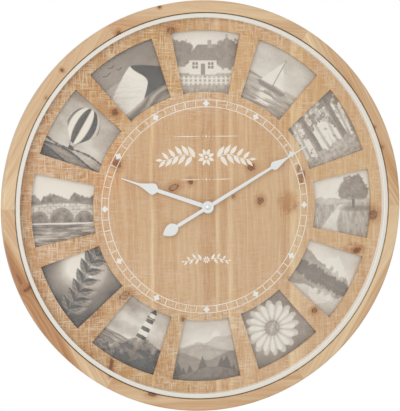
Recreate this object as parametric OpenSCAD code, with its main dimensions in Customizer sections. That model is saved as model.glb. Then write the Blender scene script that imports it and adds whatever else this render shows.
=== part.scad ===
// Wooden photo wall clock: segmented rim, white accent ring, dial board with twelve photo windows,
// leaf hands, and a quartz movement with its whole gear train behind the dial.
// Millimetres. +Z is up, the dial faces -Y, the wall is the plane Y = 0, and the hands turn about the Y axis.

/* [Rim] */
// Outside diameter of the wooden rim
rim_d = 610; // [590:5:630]
// Width of the front face of the rim
rim_w = 17.5; // [16:0.5:20]
// Thickness of the rim board
rim_t = 22; // [21:0.5:24]
// Radius of the rounded outer front edge
rim_round = 3.5; // [1:0.5:5]
// How far the edge of the dial board runs in behind the rim
rim_lap = 3.8; // [3:0.1:4.3]

/* [Dial board] */
// Depth of the dial behind the front of the rim
dial_recess = 12.5; // [11:0.5:13.5]
// Radius of the hole for the movement bushing
dial_hole_r = 4.3; // [4.2:0.1:5]

/* [Accent ring] */
// Width of the white ring
ring_w = 6.3; // [4:0.1:8]
// Height of the white ring above the dial
ring_h = 10.5; // [7:0.1:12]
// Shadow gap between the rim and the white ring
ring_gap = 1.2; // [0.8:0.1:2.4]

/* [Photo windows] */
// Radial height of a window opening
window_h = 91; // [80:1:100]
// Half of the angle that a window opening spans
window_half = 11.75; // [10.5:0.25:12]
// Wood between the white ring and the windows
window_margin = 18; // [14:0.2:22]
// Overlap of the dial board over each pane
window_lap = 4.5; // [3:0.5:5]
// Thickness of the clear panes
pane_t = 2; // [1.5:0.1:2.5]
// Thickness of a photo print
print_t = 0.3; // [0.2:0.05:0.5]
// Thickness of the hardboard backings
backing_t = 3.2; // [2.5:0.1:3.6]

/* [Turn buttons] */
// Length of a turn button
button_l = 40; // [34:1:46]
// Width of a turn button
button_w = 9; // [7:0.5:10]
// Thickness of a turn button
button_t = 1.6; // [1.2:0.1:2.4]

/* [Back ring] */
// Depth of the back ring, which holds the clock off the wall
back_t = 22; // [21.5:0.5:28]
// How far the back ring sits inside the rim
back_inset = 4; // [3.5:0.5:5]
// Width of the keyhole slot
slot_w = 5; // [4:0.25:6]
// Radius of the keyhole entry
entry_r = 5; // [4.5:0.25:5.5]

/* [Hands] */
// Length of the minute hand from the centre to its tip
minute_l = 179; // [150:1:190]
// Length of the minute hand's tail
minute_tail = 79; // [64:1:90]
// Length of the hour hand
hour_l = 138; // [115:1:145]
// Thickness of both hands
hand_t = 0.8; // [0.6:0.1:1.2]
// Minute hand, degrees clockwise from twelve
minute_at = 60; // [0:1:359]
// Hour hand, degrees clockwise from twelve
hour_at = 289; // [0:1:359]

/* [Movement] */
// Length of the AA cell, cap included
cell_l = 50.2; // [49.2:0.1:51]
// Diameter of the AA cell
cell_d = 14.5; // [13.8:0.1:14.8]
// Wall thickness of the movement case
case_wall = 1.2; // [1:0.1:1.4]
// Radial running fit of every pivot and shaft
fit = 0.05; // [0.03:0.01:0.08]
// Length of the threaded bushing
bushing_l = 14.5; // [14:0.1:15.6]

/* [Hidden] */
$fn = 64;
tiny = 0.01;

// Radii of the wooden parts, from the rim inwards
rim_r = rim_d / 2;
rim_r_in = rim_r - rim_w;
rebate_r = rim_r_in + rim_lap;
dial_r = rebate_r - 0.25;
ring_r_out = rim_r_in - ring_gap;
ring_r_in = ring_r_out - ring_w;
window_r_out = ring_r_in - window_margin;
window_r_in = window_r_out - window_h;
bed_r_out = window_r_out + window_lap;
bed_r_in = window_r_in - window_lap;
bed_half = window_half + 1.45;
seat = 0.3;
button_r = (window_r_in + window_r_out) / 2;
back_r_out = rim_r - back_inset;
back_r_in = bed_r_out + 3;
ring_screw_r = back_r_out - 4.8;

// Depths along Y, from the wall forwards
y_back = -back_t;
y_front = y_back - rim_t;
y_dial = y_front + dial_recess;
y_pane = y_back - backing_t - print_t - pane_t;
y_print = y_back - backing_t - print_t;
y_backing = y_back - backing_t;

// Angles, counted counter-clockwise from +X as the dial is seen from the front
hours = [for (i = [0:11]) 90 - 30 * i];
spokes = [for (i = [0:11]) 75 - 30 * i];
ring_screws = [for (i = [0:11]) 15 + 30 * i];

// Six glued segments make up the rim; a block that carries the hanger closes the back ring at the top
segment = 60;
rim_first = 89.4;
block_span = 45;
glue_line = 0.004;

// Fasteners
button_screw_r = 1.6;
button_head_r = 3.3;
button_head_top = 2.4;
button_head_h = 1.9;
button_pilot = 6.5;
ring_screw_shank = 2;
ring_screw_head = 3.8;
ring_screw_sink = 2.6;
ring_screw_bite = 12;
plate_screw_x = 20;
plate_screw_r = 1.5;
plate_screw_head = 3.1;
plate_screw_l = 13;
plate_w = 56;
plate_h = 20;
plate_t = 1.6;
entry_z = back_r_in + (back_r_out - back_r_in) / 2 - 5;
slot_rise = 8;
plate_z = entry_z + slot_rise / 2;
pocket_r = entry_r + 2;
pocket_d = 12;

// Movement: depths s are counted from the inside of the front wall of the case towards the wall
gasket_t = 0.8;
y_case = y_back + gasket_t;
y_in = y_case + case_wall;
plate_contact_t = 0.5;
spring_room = 2.9;
cell_cap = 1.3;
cell_play = 0.15;
trough_play = 0.5;
cover_t = 1.2;
s_cover = max(13.6, cell_d + 2 * cell_play - cover_t);
case_d = case_wall + s_cover + cover_t;
y_case_end = y_case + case_d;
divider_z = -11.6;
gear_room_top = 25.8;
inner_x = (cell_l + plate_contact_t + spring_room) / 2;
case_x = inner_x + case_wall;
case_z1 = gear_room_top + case_wall;
trough_z1 = divider_z - case_wall;
trough_z0 = trough_z1 - cell_d - trough_play;
trough_z = (trough_z0 + trough_z1) / 2;
case_z0 = trough_z0 - case_wall;
cell_x0 = -inner_x + spring_room;
cell_x1 = cell_x0 + cell_l;
board_x1 = inner_x - 2.8;
board_x0 = board_x1 - 14;
board_posts = [board_x0 + 2.5, board_x1 - 2.5];
board_post_z = divider_z + 2.8;
stator_x0 = -inner_x + 2.8;
stator_posts = [stator_x0 + 1.3, stator_x0 + 14];
coil_x0 = stator_x0 + 3;
coil_l = 18.5;
arbor_end = s_cover - 0.9;
bore_end = s_cover - 0.7;
bushing_r = 4;
bushing_bore = 2.5 + fit + 0.01;
tube_r = 2.5;
shaft_r = 1.5;
y_washer = y_dial;
washer_t = 0.8;
nut_t = 2.4;
y_bushing = y_case - bushing_l;
y_hour = y_bushing - 1;
y_minute = y_hour - 2.6;

// Gear teeth: module and tooth count of each mesh, and the axes of the train as [x, z]
pressure = 30;
lash = 6.9;
m_motion = 0.32;
m_fine = 0.2;
m_drive = 0.25;
axis_c = [0, 0];
axis_v = axis_c + polar(m_motion * 60 / 2, 180);
axis_k = axis_v + polar(m_motion * 64 / 2, 120);
axis_t = axis_c + polar(m_fine * 90 / 2, 60);
axis_s = axis_t + polar(m_fine * 85 / 2, 0);
axis_i = axis_s + polar(m_drive * 60 / 2, 90);
axis_r = axis_i + polar(m_fine * 70 / 2, 150);
pivot_r = 0.5;

// Tooth phases that put a tooth of one wheel in a gap of the next
cannon_a = 0;
reverser_a = mesh(cannon_a, 12, 48, axis_c, axis_v);
setting_a = mesh(reverser_a, 48, 16, axis_v, axis_k);
hour_a = mesh(0, 15, 45, axis_v, axis_c);
third_a = 0;
centre_a = mesh(third_a, 10, 80, axis_t, axis_c);
second_a = mesh(third_a, 75, 10, axis_t, axis_s);
inter_a = mesh(0, 50, 10, axis_s, axis_i);
rotor_a = mesh(0, 60, 10, axis_i, axis_r);

// Which node is drawn

// Point at radius r and angle a
function polar(r, a) = [r * cos(a), r * sin(a)];

// Depth s inside the movement as a Y coordinate
function ys(s) = y_in + s;

// Angle folded into -180 to 180
function fold(a) = a - 360 * round(a / 360);

// Phase of the second wheel of a mesh: a gap faces the tooth of the first along the line of centres
function mesh(a, za, zb, pa, pb) =
    let (phi = atan2(pb[1] - pa[1], pb[0] - pa[0]))
    phi + 180 + 180 / zb - (a - phi) * za / zb;

// Involute function in degrees
function involute(a) = tan(a) * 180 / PI - a;

// Half of the angle that a tooth spans at radius r
function tooth_half(z, m, r) =
    let (rb = m * z / 2 * cos(pressure))
    (90 - lash) / z + involute(pressure) - involute(acos(min(1, rb / max(r, rb))));

// Radii at which a flank is drawn, from the root to the tip
function flank_radii(z, m) =
    let (rp = m * z / 2, rb = rp * cos(pressure), rr = rp - 1.05 * m, ra = rp + 0.8 * m, r0 = max(rb, rr))
    concat(rr < rb - 0.01 ? [rr] : [], [r0, (r0 + ra) / 2, ra]);

// Outline of a spur wheel with z teeth of module m, one tooth pointing along angle a
function gear_points(z, m, a) =
    let (radii = flank_radii(z, m), n = len(radii))
    [for (k = [0:z - 1]) each concat(
        [for (r = radii) polar(r, a + k * 360 / z - tooth_half(z, m, r))],
        [for (i = [n - 1:-1:0]) polar(radii[i], a + k * 360 / z + tooth_half(z, m, radii[i]))]
    )];

// Half width of a hand along its length: stem, leaf with a full base, drawn-out needle
function hand_half(u, u1, u2, end, stem, leaf, needle) =
    u < u1 ? stem[0] + (stem[1] - stem[0]) * u / u1
    : u < u2 ? let (s = (u - u1) / (u2 - u1))
        (s < 0.2 ? stem[1] + (leaf - stem[1]) * sin(450 * s)
        : needle + (leaf - needle) * pow(1 - (s - 0.2) / 0.8, 1.5))
    : needle + (0.35 - needle) * (u - u2) / (end - u2);

// Stations along a hand, closer together on the leaf
function hand_stations(u1, u2, end) = concat(
    [0, u1],
    [for (i = [1:20]) u1 + (u2 - u1) * pow(i / 20, 1.4)],
    [end]
);

// Outline of a hand that points along +X
function hand_points(u1, u2, end, stem, leaf, needle) =
    let (us = hand_stations(u1, u2, end), n = len(us))
    concat(
        [for (u = us) [u, -hand_half(u, u1, u2, end, stem, leaf, needle)]],
        [for (i = [n - 1:-1:0]) [us[i], hand_half(us[i], u1, u2, end, stem, leaf, needle)]]
    );

// Outline of the tail of the minute hand: stem and pointed leaf, along -X
function tail_points(base, end, stem, leaf) =
    let (half = [for (s = [1 / 18:1 / 18:17.5 / 18])
        [base + (end - base) * s, leaf * pow(sin(180 * pow(s, 0.8)), 0.8)]])
    concat(
        [[0, stem], [-base, stem]],
        [for (p = half) [-p[0], max(stem * 0.6, p[1])]],
        [[-end, 0]],
        [for (i = [16:-1:0]) [-half[i][0], -max(stem * 0.6, half[i][1])]],
        [[-base, -stem], [0, -stem]]
    );

// Profile of the rim as [radius, Y]
function rim_profile() = concat(
    [[rebate_r, y_back], [rim_r, y_back]],
    [for (i = [0:6]) [
        rim_r - rim_round * (1 - cos(i * 15)),
        y_front + rim_round * (1 - sin(i * 15))
    ]],
    [[rim_r_in + 0.8, y_front], [rim_r_in, y_front + 0.8], [rim_r_in, y_dial], [rebate_r, y_dial]]
);

// Flat shape in the dial plane, drawn out from depth y0 to depth y1
module along_y(y0, y1) {
    translate([0, y1, 0])
        rotate([90, 0, 0])
            linear_extrude(height = y1 - y0)
                children();
}

// Solid of revolution about the hands' axis, from [radius, Y] points
module turned(points, at = 0, sweep = 360) {
    rotate([90, 0, 0])
        rotate([0, 0, at])
            rotate_extrude(angle = sweep)
                polygon([for (p = points) [p[0], -p[1]]]);
}

// Ring sector between two radii, centred on an angle
module sector(r1, r2, half, y0, y1, at) {
    turned([[r1, y0], [r2, y0], [r2, y1], [r1, y1]], at - half, 2 * half);
}

// Round bar along Y at [x, z]
module rod(p, r, y0, y1) {
    translate([p[0], y1, p[1]])
        rotate([90, 0, 0])
            cylinder(r = r, h = y1 - y0);
}

// Cone along Y at [x, z], radius r0 at depth y0 and r1 at depth y1
module taper(p, r0, r1, y0, y1) {
    translate([p[0], y1, p[1]])
        rotate([90, 0, 0])
            cylinder(r1 = r1, r2 = r0, h = y1 - y0);
}

// Box from its two corners
module block(a, b) {
    translate(a)
        cube(b - a);
}

// Rectangle with round corners
module rounded(w, h, r) {
    square([w - 2 * r, h], center = true);
    square([w, h - 2 * r], center = true);
    for (x = [-1, 1], y = [-1, 1])
        translate([x * (w / 2 - r), y * (h / 2 - r)])
            circle(r = r);
}

// Spur wheel at an axis between two depths
module gear(p, z, m, a, s0, s1) {
    translate([p[0], 0, p[1]])
        along_y(ys(s0), ys(s1))
            polygon(gear_points(z, m, a));
}

// Cross recess for a screw head whose top is at depth y
module cross_recess(p, size, y, deep) {
    for (turn = [45, 135])
        translate([p[0], y, p[1]])
            rotate([0, turn, 0])
                translate([-size / 2, -deep, -size / 9])
                    cube([size, deep + 1, size * 2 / 9]);
}

// Arc of a glued ring from its profile, centred on an angle
module glued_arc(profile, middle, span) {
    turned(profile, middle - span / 2 + glue_line / 2, span - glue_line);
}

// One of the six glued segments of the rim, the first at the top and the rest clockwise
module rim_segment(i) {
    middle = rim_first - segment * (i - 1);
    color("burlywood")
        difference() {
            glued_arc(rim_profile(), middle, segment);
            for (a = ring_screws)
                if (abs(fold(a - middle)) < segment / 2)
                    rod(polar(ring_screw_r, a), ring_screw_shank, y_back - ring_screw_bite, y_back + 1);
        }
}

// White ring that stands on the dial just inside the rim
module accent_ring() {
    color("ivory")
        turned([
            [ring_r_in, y_dial], [ring_r_out, y_dial],
            [ring_r_out, y_dial - ring_h + 0.8], [ring_r_out - 0.8, y_dial - ring_h],
            [ring_r_in + 0.8, y_dial - ring_h], [ring_r_in, y_dial - ring_h + 0.8]
        ]);
}

// Dial board with twelve windows, a bed behind each for its pane, and pilot holes in the spokes
module dial_board() {
    color("tan")
        difference() {
            turned([[dial_hole_r, y_dial], [dial_r, y_dial], [dial_r, y_back], [dial_hole_r, y_back]]);
            for (a = hours) {
                sector(window_r_in, window_r_out, window_half, y_dial - 1, y_back - 1, a);
                sector(bed_r_in, bed_r_out, bed_half, y_pane, y_back + 1, a);
            }
            for (a = spokes)
                rod(polar(button_r, a), button_screw_r, y_back - button_pilot, y_back + 1);
        }
}

// One flat insert in every bed
module window_inserts(y0, y1) {
    for (a = hours)
        sector(bed_r_in + seat, bed_r_out - seat, bed_half - 0.1, y0, y1, a);
}

// Clear panes behind the windows
module photo_panes() {
    color("lightblue", 0.4)
        window_inserts(y_pane, y_print);
}

// Photo prints behind the panes
module photo_prints() {
    color("whitesmoke")
        window_inserts(y_print, y_backing);
}

// Hardboard backings, flush with the back of the dial board
module photo_backings() {
    color("saddlebrown")
        window_inserts(y_backing, y_back);
}

// Turn button on the spoke after hour i, lying across two backings
module turn_button(i) {
    a = spokes[i - 1];
    color("silver")
        translate([polar(button_r, a)[0], 0, polar(button_r, a)[1]])
            rotate([0, -a, 0])
                difference() {
                    along_y(y_back + 0.1, y_back + 0.1 + button_t)
                        union() {
                            square([button_w, button_l - button_w], center = true);
                            for (z = [-1, 1])
                                translate([0, z * (button_l - button_w) / 2])
                                    circle(r = button_w / 2);
                        }
                    rod([0, 0], button_screw_r + fit, y_back, y_back + button_t + 1);
                }
}

// Pan-head screws of the turn buttons
module turn_button_screws() {
    head = y_back + button_t + 0.2;
    shoulder = head + button_head_h * 0.63;
    top = head + button_head_h;
    color("silver")
        for (a = spokes) {
            p = polar(button_r, a);
            difference() {
                union() {
                    rod(p, button_head_r, head, shoulder);
                    taper(p, button_head_r, button_head_top, shoulder, top);
                    rod(p, button_screw_r, y_back - button_pilot, head + tiny);
                }
                cross_recess(p, button_head_r * 1.03, top, button_head_h * 0.58);
            }
        }
}

// Outline of the keyhole in the hanger plate
module keyhole() {
    translate([0, entry_z])
        circle(r = entry_r);
    translate([-slot_w / 2, entry_z])
        square([slot_w, slot_rise]);
    translate([0, entry_z + slot_rise])
        circle(r = slot_w / 2);
}

// Recess for the hanger plate, the pocket behind its keyhole and the pilot holes of its screws
module hanger_recess() {
    along_y(-plate_t, 1)
        translate([0, plate_z])
            rounded(plate_w + 0.4, plate_h + 0.4, 4.2);
    along_y(-plate_t - pocket_d, 0)
        union() {
            translate([0, entry_z])
                circle(r = pocket_r);
            translate([-pocket_r, entry_z])
                square([2 * pocket_r, slot_rise]);
            translate([0, entry_z + slot_rise])
                circle(r = pocket_r);
        }
    for (x = [-plate_screw_x, plate_screw_x])
        rod([x, plate_z], plate_screw_r, -plate_screw_l, 0);
}

// Part of the ring behind the rim and the dial edge, with the holes of its own screws
module back_arc(middle, span) {
    difference() {
        glued_arc([
            [back_r_in, y_back], [back_r_out, y_back],
            [back_r_out, -1], [back_r_out - 1, 0], [back_r_in + 1, 0], [back_r_in, -1]
        ], middle, span);
        for (a = ring_screws)
            if (abs(fold(a - middle)) < span / 2) {
                p = polar(ring_screw_r, a);
                rod(p, ring_screw_shank + 0.2, y_back - 1, 1);
                taper(p, ring_screw_shank + 0.2, ring_screw_head + 0.2, -ring_screw_sink, tiny);
            }
    }
}

// Plywood ring that clamps the dial board in the rim and stands on the wall, open at the top
module back_ring() {
    color("peru")
        back_arc(270, 360 - block_span);
}

// Block that closes the back ring at the top and carries the hanger
module hanger_block() {
    color("burlywood")
        difference() {
            back_arc(90, block_span);
            hanger_recess();
        }
}

// Countersunk screws that hold the back ring and its block to the rim
module back_ring_screws() {
    tip = y_back - ring_screw_bite;
    color("goldenrod")
        for (a = ring_screws) {
            p = polar(ring_screw_r, a);
            difference() {
                union() {
                    rod(p, ring_screw_shank, tip + 2, -ring_screw_sink + 0.2);
                    taper(p, tiny * 20, ring_screw_shank, tip, tip + 2);
                    taper(p, ring_screw_shank, ring_screw_head - 0.15, -ring_screw_sink, -0.3);
                }
                cross_recess(p, ring_screw_head * 1.16, -0.3, ring_screw_sink / 2);
            }
        }
}

// Keyhole plate, flush with the back of the back ring
module hanger_plate() {
    color("silver")
        difference() {
            along_y(-plate_t, 0)
                difference() {
                    translate([0, plate_z])
                        rounded(plate_w, plate_h, 4);
                    keyhole();
                }
            for (x = [-plate_screw_x, plate_screw_x])
                taper([x, plate_z], plate_screw_r, plate_screw_head, -plate_t - tiny, tiny);
        }
}

// Countersunk screws of the keyhole plate
module hanger_screws() {
    color("silver")
        for (x = [-plate_screw_x, plate_screw_x]) {
            p = [x, plate_z];
            difference() {
                union() {
                    rod(p, plate_screw_r, -plate_screw_l + 1.5, -plate_t);
                    taper(p, tiny * 20, plate_screw_r, -plate_screw_l, -plate_screw_l + 1.5);
                    taper(p, plate_screw_r, plate_screw_head - 0.1, -plate_t, -0.05);
                }
                cross_recess(p, plate_screw_head * 1.1, -0.05, 1);
            }
        }
}

// Hour hand, pressed on the hour tube
module hour_hand() {
    color("white")
        difference() {
            along_y(y_hour - hand_t, y_hour)
                rotate(90 - hour_at)
                    union() {
                        circle(r = 8);
                        polygon(hand_points(hour_l * 0.58, hour_l * 0.835, hour_l, [3.6, 2.8], 8.6, 1.1));
                    }
            rod([0, 0], tube_r, y_hour - hand_t - 1, y_hour + 1);
        }
}

// Minute hand with its leaf-shaped tail, on the minute shaft
module minute_hand() {
    color("white")
        difference() {
            along_y(y_minute - hand_t, y_minute)
                rotate(90 - minute_at)
                    union() {
                        circle(r = 9);
                        polygon(hand_points(
                            minute_l * 0.636, minute_l * 0.815, minute_l, [2.9, 2.0], 6.6, 0.9
                        ));
                        polygon(tail_points(minute_tail * 0.67, minute_tail, 2.6, 9));
                    }
            rod([0, 0], shaft_r, y_minute - hand_t - 1, y_minute + 1);
        }
}

// Cap nut on the end of the minute shaft
module hand_nut() {
    top = y_minute - hand_t;
    color("silver")
        turned([
            [shaft_r, top], [3.6, top], [3.6, top - 1], [3.3, top - 1.7],
            [2.6, top - 2.2], [1.6, top - 2.5], [0, top - 2.6], [0, top - 1.2], [shaft_r, top - 1.2]
        ]);
}

// Post with a bearing bore, standing on the front wall of the case
module front_bearing(p, r, top) {
    rod(p, r, ys(-tiny), ys(top));
}

// Case of the movement: gear room, battery trough, bearing posts, and stakes for the stator and the circuit
module movement_case() {
    color("dimgray")
        difference() {
            union() {
                difference() {
                    block([-case_x, y_case, case_z0], [case_x, y_case_end, case_z1]);
                    block([-inner_x, y_in, divider_z], [inner_x, y_case_end + 1, gear_room_top]);
                    block([-inner_x, y_in, trough_z0], [inner_x, y_case_end + 1, trough_z1]);
                }
                front_bearing(axis_t, 1.1, 4);
                front_bearing(axis_s, 1.2, 5.7);
                front_bearing(axis_i, 1.2, 7.1);
                front_bearing(axis_r, 1.2, 8.5);
                for (x = stator_posts) {
                    front_bearing([x, 13.5], 1.2, 10.4);
                    front_bearing([x, 13.5], 0.6, 11.9);
                }
                for (x = board_posts) {
                    front_bearing([x, board_post_z], 1.2, 11);
                    front_bearing([x, board_post_z], 0.6, 12.1);
                }
                for (x = [-inner_x - tiny, inner_x - 2.4], z = [divider_z - tiny, gear_room_top - 2.4])
                    block([x, ys(-tiny), z], [x + 2.4 + tiny, ys(s_cover), z + 2.4 + tiny]);
            }
            rod(axis_c, 3.2, y_case - 1, y_in + 1);
            rod(axis_v, pivot_r + fit, ys(-0.8), ys(1));
            rod(axis_k, pivot_r + fit, ys(-0.8), ys(1));
            rod(axis_t, pivot_r + fit, ys(1), ys(5));
            rod(axis_s, pivot_r + fit, ys(2.5), ys(7));
            rod(axis_i, pivot_r + fit, ys(4), ys(8));
            rod(axis_r, pivot_r + fit, ys(5), ys(9));
            for (side = [-1, 1])
                translate([side * inner_x, 0, 8])
                    block([-0.7, ys(s_cover - 0.05), -3.1], [0.7, ys(s_cover + cover_t - 0.1), 3.1]);
        }
}

// Post with a bearing bore, hanging from the inside of the cover
module rear_bearing(p, r, from) {
    rod(p, r, ys(from), ys(s_cover + tiny));
}

// Snap-in cover over the gear room
module movement_cover() {
    x1 = inner_x - 0.1;
    color("darkgray")
        difference() {
            union() {
                block([-x1, ys(s_cover), divider_z + 0.1], [x1, y_case_end, gear_room_top - 0.1]);
                for (side = [-1, 1])
                    translate([side * x1, 0, 8])
                        block([-0.7, ys(s_cover), -3], [0.7, ys(s_cover + cover_t - 0.2), 3]);
                rear_bearing(axis_c, 1.4, 7.5);
                rear_bearing(axis_t, 1.1, 10.5);
                rear_bearing(axis_s, 1.1, 10.5);
                rear_bearing(axis_i, 1.1, 10.5);
                rear_bearing(axis_r, 1.4, s_cover - 1);
                rear_bearing(axis_v, 1.2, 6.3);
            }
            rod(axis_c, 0.6 + fit, ys(7), ys(bore_end));
            for (p = [axis_t, axis_s, axis_i])
                rod(p, pivot_r + fit, ys(10), ys(bore_end));
            rod(axis_v, pivot_r + fit, ys(6), ys(bore_end));
            rod(axis_r, pivot_r + fit, ys(12), ys(s_cover - 0.2));
            rod(axis_k, 1 + fit, ys(s_cover - 1), y_case_end + 1);
        }
}

// Threaded bushing through the dial, with a spigot pressed in the front wall of the case
module mount_bushing() {
    color("goldenrod")
        turned([
            [bushing_bore, y_bushing], [bushing_r - 0.4, y_bushing], [bushing_r, y_bushing + 0.4],
            [bushing_r, y_case], [3.2, y_case], [3.2, y_in], [bushing_bore, y_in]
        ]);
}

// Rubber pad between the case and the dial board
module case_gasket() {
    color("black")
        along_y(y_back, y_case)
            difference() {
                rounded(44, 44, 5);
                circle(r = bushing_r + 0.1);
            }
}

// Brass washer on the front of the dial
module front_washer() {
    color("goldenrod")
        along_y(y_washer - washer_t, y_washer)
            difference() {
                circle(r = 8);
                circle(r = bushing_r + 0.1);
            }
}

// Hexagon nut that clamps the movement to the dial board
module bushing_nut() {
    color("goldenrod")
        along_y(y_washer - washer_t - nut_t, y_washer - washer_t)
            difference() {
                polygon([for (i = [0:5]) polar(6.9, 60 * i + 30)]);
                circle(r = bushing_r);
            }
}

// Hour wheel and its tube, which carries the hour hand
module hour_wheel() {
    color("ivory")
        difference() {
            union() {
                gear(axis_c, 45, m_motion, hour_a, 0.5, 1.9);
                rod(axis_c, tube_r, y_hour - hand_t - 0.4, ys(1.9));
            }
            rod(axis_c, shaft_r + fit + 0.01, y_hour - hand_t - 2, ys(3));
        }
}

// Minute shaft with the cannon pinion, the clutch flange and the rear pivot
module minute_arbor() {
    color("gainsboro")
        union() {
            rod(axis_c, shaft_r, y_minute - hand_t - 1.1, ys(2.4));
            gear(axis_c, 12, m_motion, cannon_a, 2.3, 3.7);
            rod(axis_c, 3, ys(3.7), ys(4.4));
            rod(axis_c, 1, ys(4.4 - tiny), ys(5.9));
            rod(axis_c, 0.6, ys(5.8), ys(arbor_end));
        }
}

// Centre wheel, which slips on the minute arbor when the hands are set
module centre_wheel() {
    color("khaki")
        difference() {
            gear(axis_c, 80, m_fine, centre_a, 4.5, 5.7);
            rod(axis_c, 1 + fit, ys(4), ys(6));
        }
}

// Wheel and pinion on one arbor
module wheel_and_pinion(p, wheel, pinion, arbor) {
    gear(p, wheel[0], wheel[1], wheel[2], wheel[3], wheel[4]);
    gear(p, pinion[0], pinion[1], pinion[2], pinion[3], pinion[4]);
    rod(p, pivot_r, ys(arbor[0]), ys(arbor[1]));
}

// Third wheel: its pinion drives the centre wheel
module third_wheel() {
    color("lightyellow")
        wheel_and_pinion(
            axis_t, [75, m_fine, third_a, 6.1, 7.1], [10, m_fine, third_a, 4.4, 6.1], [1.2, arbor_end]
        );
}

// Second wheel: its pinion drives the third wheel
module second_wheel() {
    color("palegoldenrod")
        wheel_and_pinion(
            axis_s, [50, m_drive, 0, 7.4, 8.4], [10, m_fine, second_a, 6, 7.4], [2.7, arbor_end]
        );
}

// Intermediate wheel between the rotor and the second wheel
module intermediate_wheel() {
    color("lightgray")
        wheel_and_pinion(
            axis_i, [60, m_fine, 0, 8.9, 9.9], [10, m_drive, inter_a, 7.3, 8.9], [4.2, arbor_end]
        );
}

// Stepping rotor: magnet and pinion
module rotor() {
    color("slategray")
        union() {
            gear(axis_r, 10, m_fine, rotor_a, 8.8, 10.2);
            rod(axis_r, 3, ys(10.2), ys(12.2));
            rod(axis_r, pivot_r, ys(5.2), ys(s_cover - 0.4));
        }
}

// Reverser wheel between the minute arbor and the hour wheel
module reverser_wheel() {
    color("ivory")
        union() {
            gear(axis_v, 48, m_motion, reverser_a, 2.3, 3.7);
            gear(axis_v, 15, m_motion, 0, 0.5, 2.3);
            rod(axis_v, pivot_r, ys(-0.7), ys(arbor_end));
        }
}

// Setting pinion, its shaft through the cover, and the ribbed knob outside
module setting_knob() {
    color("lightgray")
        union() {
            gear(axis_k, 16, m_motion, setting_a, 2.3, 3.7);
            rod(axis_k, pivot_r, ys(-0.7), ys(2.4));
            rod(axis_k, 1, ys(3.6), y_case_end + 0.3);
            translate([axis_k[0], 0, axis_k[1]])
                along_y(y_case_end + 0.2, y_case_end + 3.2)
                    polygon([for (i = [0:47]) polar(i % 2 == 0 ? 5 : 4.6, i * 7.5)]);
        }
}

// Circuit board with the quartz can and the sealed chip
module circuit_board() {
    color("darkgreen")
        difference() {
            union() {
                block([board_x0, ys(11), divider_z + 0.6], [board_x1, ys(11.8), divider_z + 11.1]);
                rod([board_x0 + 8.5, divider_z + 6.4], 2.2, ys(11.7), ys(12.6));
                translate([board_x0 + 1.5, ys(12.5), divider_z + 9.4])
                    rotate([0, 90, 0])
                        cylinder(r = 1, h = 6);
            }
            for (x = board_posts)
                rod([x, board_post_z], 0.6, ys(10), ys(13));
        }
}

// Bobbin with its winding, around the core of the stator
module coil() {
    color("sienna")
        difference() {
            translate([coil_x0, ys(11), 21])
                rotate([0, 90, 0])
                    union() {
                        cylinder(r = 2.2, h = coil_l);
                        cylinder(r = 2.45, h = 0.8);
                        translate([0, 0, coil_l - 0.8])
                            cylinder(r = 2.45, h = 0.8);
                    }
            block([coil_x0 - 1, ys(10.4), 19.8], [coil_x0 + coil_l + 1, ys(11.6), 22.2]);
        }
}

// Stator plate: core through the coil, eye around the rotor, and return arm
module stator() {
    color("lightsteelblue")
        along_y(ys(10.4), ys(11.6))
            difference() {
                union() {
                    translate(axis_r)
                        circle(r = 5.2);
                    translate([stator_x0, 19.8])
                        square([axis_r[0] - 3 - stator_x0, 2.4]);
                    translate([stator_x0, 12.2])
                        square([2.4, 10]);
                    translate([stator_x0, 12.2])
                        square([axis_r[0] - 1 - stator_x0, 2.6]);
                }
                translate(axis_r)
                    circle(r = 3.3);
                for (x = stator_posts)
                    translate([x, 13.5])
                        circle(r = 0.6);
            }
}

// AA cell in the trough
module battery() {
    color("darkolivegreen")
        translate([cell_x0, y_in + cell_d / 2 + cell_play, trough_z])
            rotate([0, 90, 0])
                union() {
                    cylinder(r = cell_d / 2, h = cell_l - cell_cap);
                    cylinder(r = 2.75, h = cell_l);
                }
}

// Flat spring contact at the cap end of the cell
module contact_positive() {
    color("silver")
        block([cell_x1, ys(1), trough_z - 4.5], [inner_x, ys(s_cover + 0.2), trough_z + 4.5]);
}

// Bowed spring contact at the flat end of the cell
module contact_negative() {
    x = -inner_x;
    color("silver")
        translate([0, y_in, trough_z - 4])
            linear_extrude(height = 8)
                polygon([
                    [x, 1], [x + 0.4, 1], [x + 0.4, 2.4], [cell_x0, 6.6], [cell_x0, 8.2], [x + 1.2, 12.8],
                    [x + 0.8, 12.6], [cell_x0 - 0.45, 8], [cell_x0 - 0.45, 6.8], [x + 0.4, 3.2],
                    [x + 0.4, 13.8], [x, 13.8]
                ]);
}

rim_segment(1);  // rim_segment_1
rim_segment(2);  // rim_segment_2
rim_segment(3);  // rim_segment_3
rim_segment(4);  // rim_segment_4
rim_segment(5);  // rim_segment_5
rim_segment(6);  // rim_segment_6
accent_ring();
dial_board();
photo_panes();
photo_prints();
photo_backings();
turn_button(1);  // turn_button_01
turn_button(2);  // turn_button_02
turn_button(3);  // turn_button_03
turn_button(4);  // turn_button_04
turn_button(5);  // turn_button_05
turn_button(6);  // turn_button_06
turn_button(7);  // turn_button_07
turn_button(8);  // turn_button_08
turn_button(9);  // turn_button_09
turn_button(10);  // turn_button_10
turn_button(11);  // turn_button_11
turn_button(12);  // turn_button_12
turn_button_screws();
back_ring();
hanger_block();
back_ring_screws();
hanger_plate();
hanger_screws();
hour_hand();
minute_hand();
hand_nut();
movement_case();
movement_cover();
mount_bushing();
case_gasket();
front_washer();
bushing_nut();
hour_wheel();
minute_arbor();
centre_wheel();
third_wheel();
second_wheel();
intermediate_wheel();
rotor();
reverser_wheel();
setting_knob();
circuit_board();
coil();
stator();
battery();
contact_positive();
contact_negative();
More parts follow.
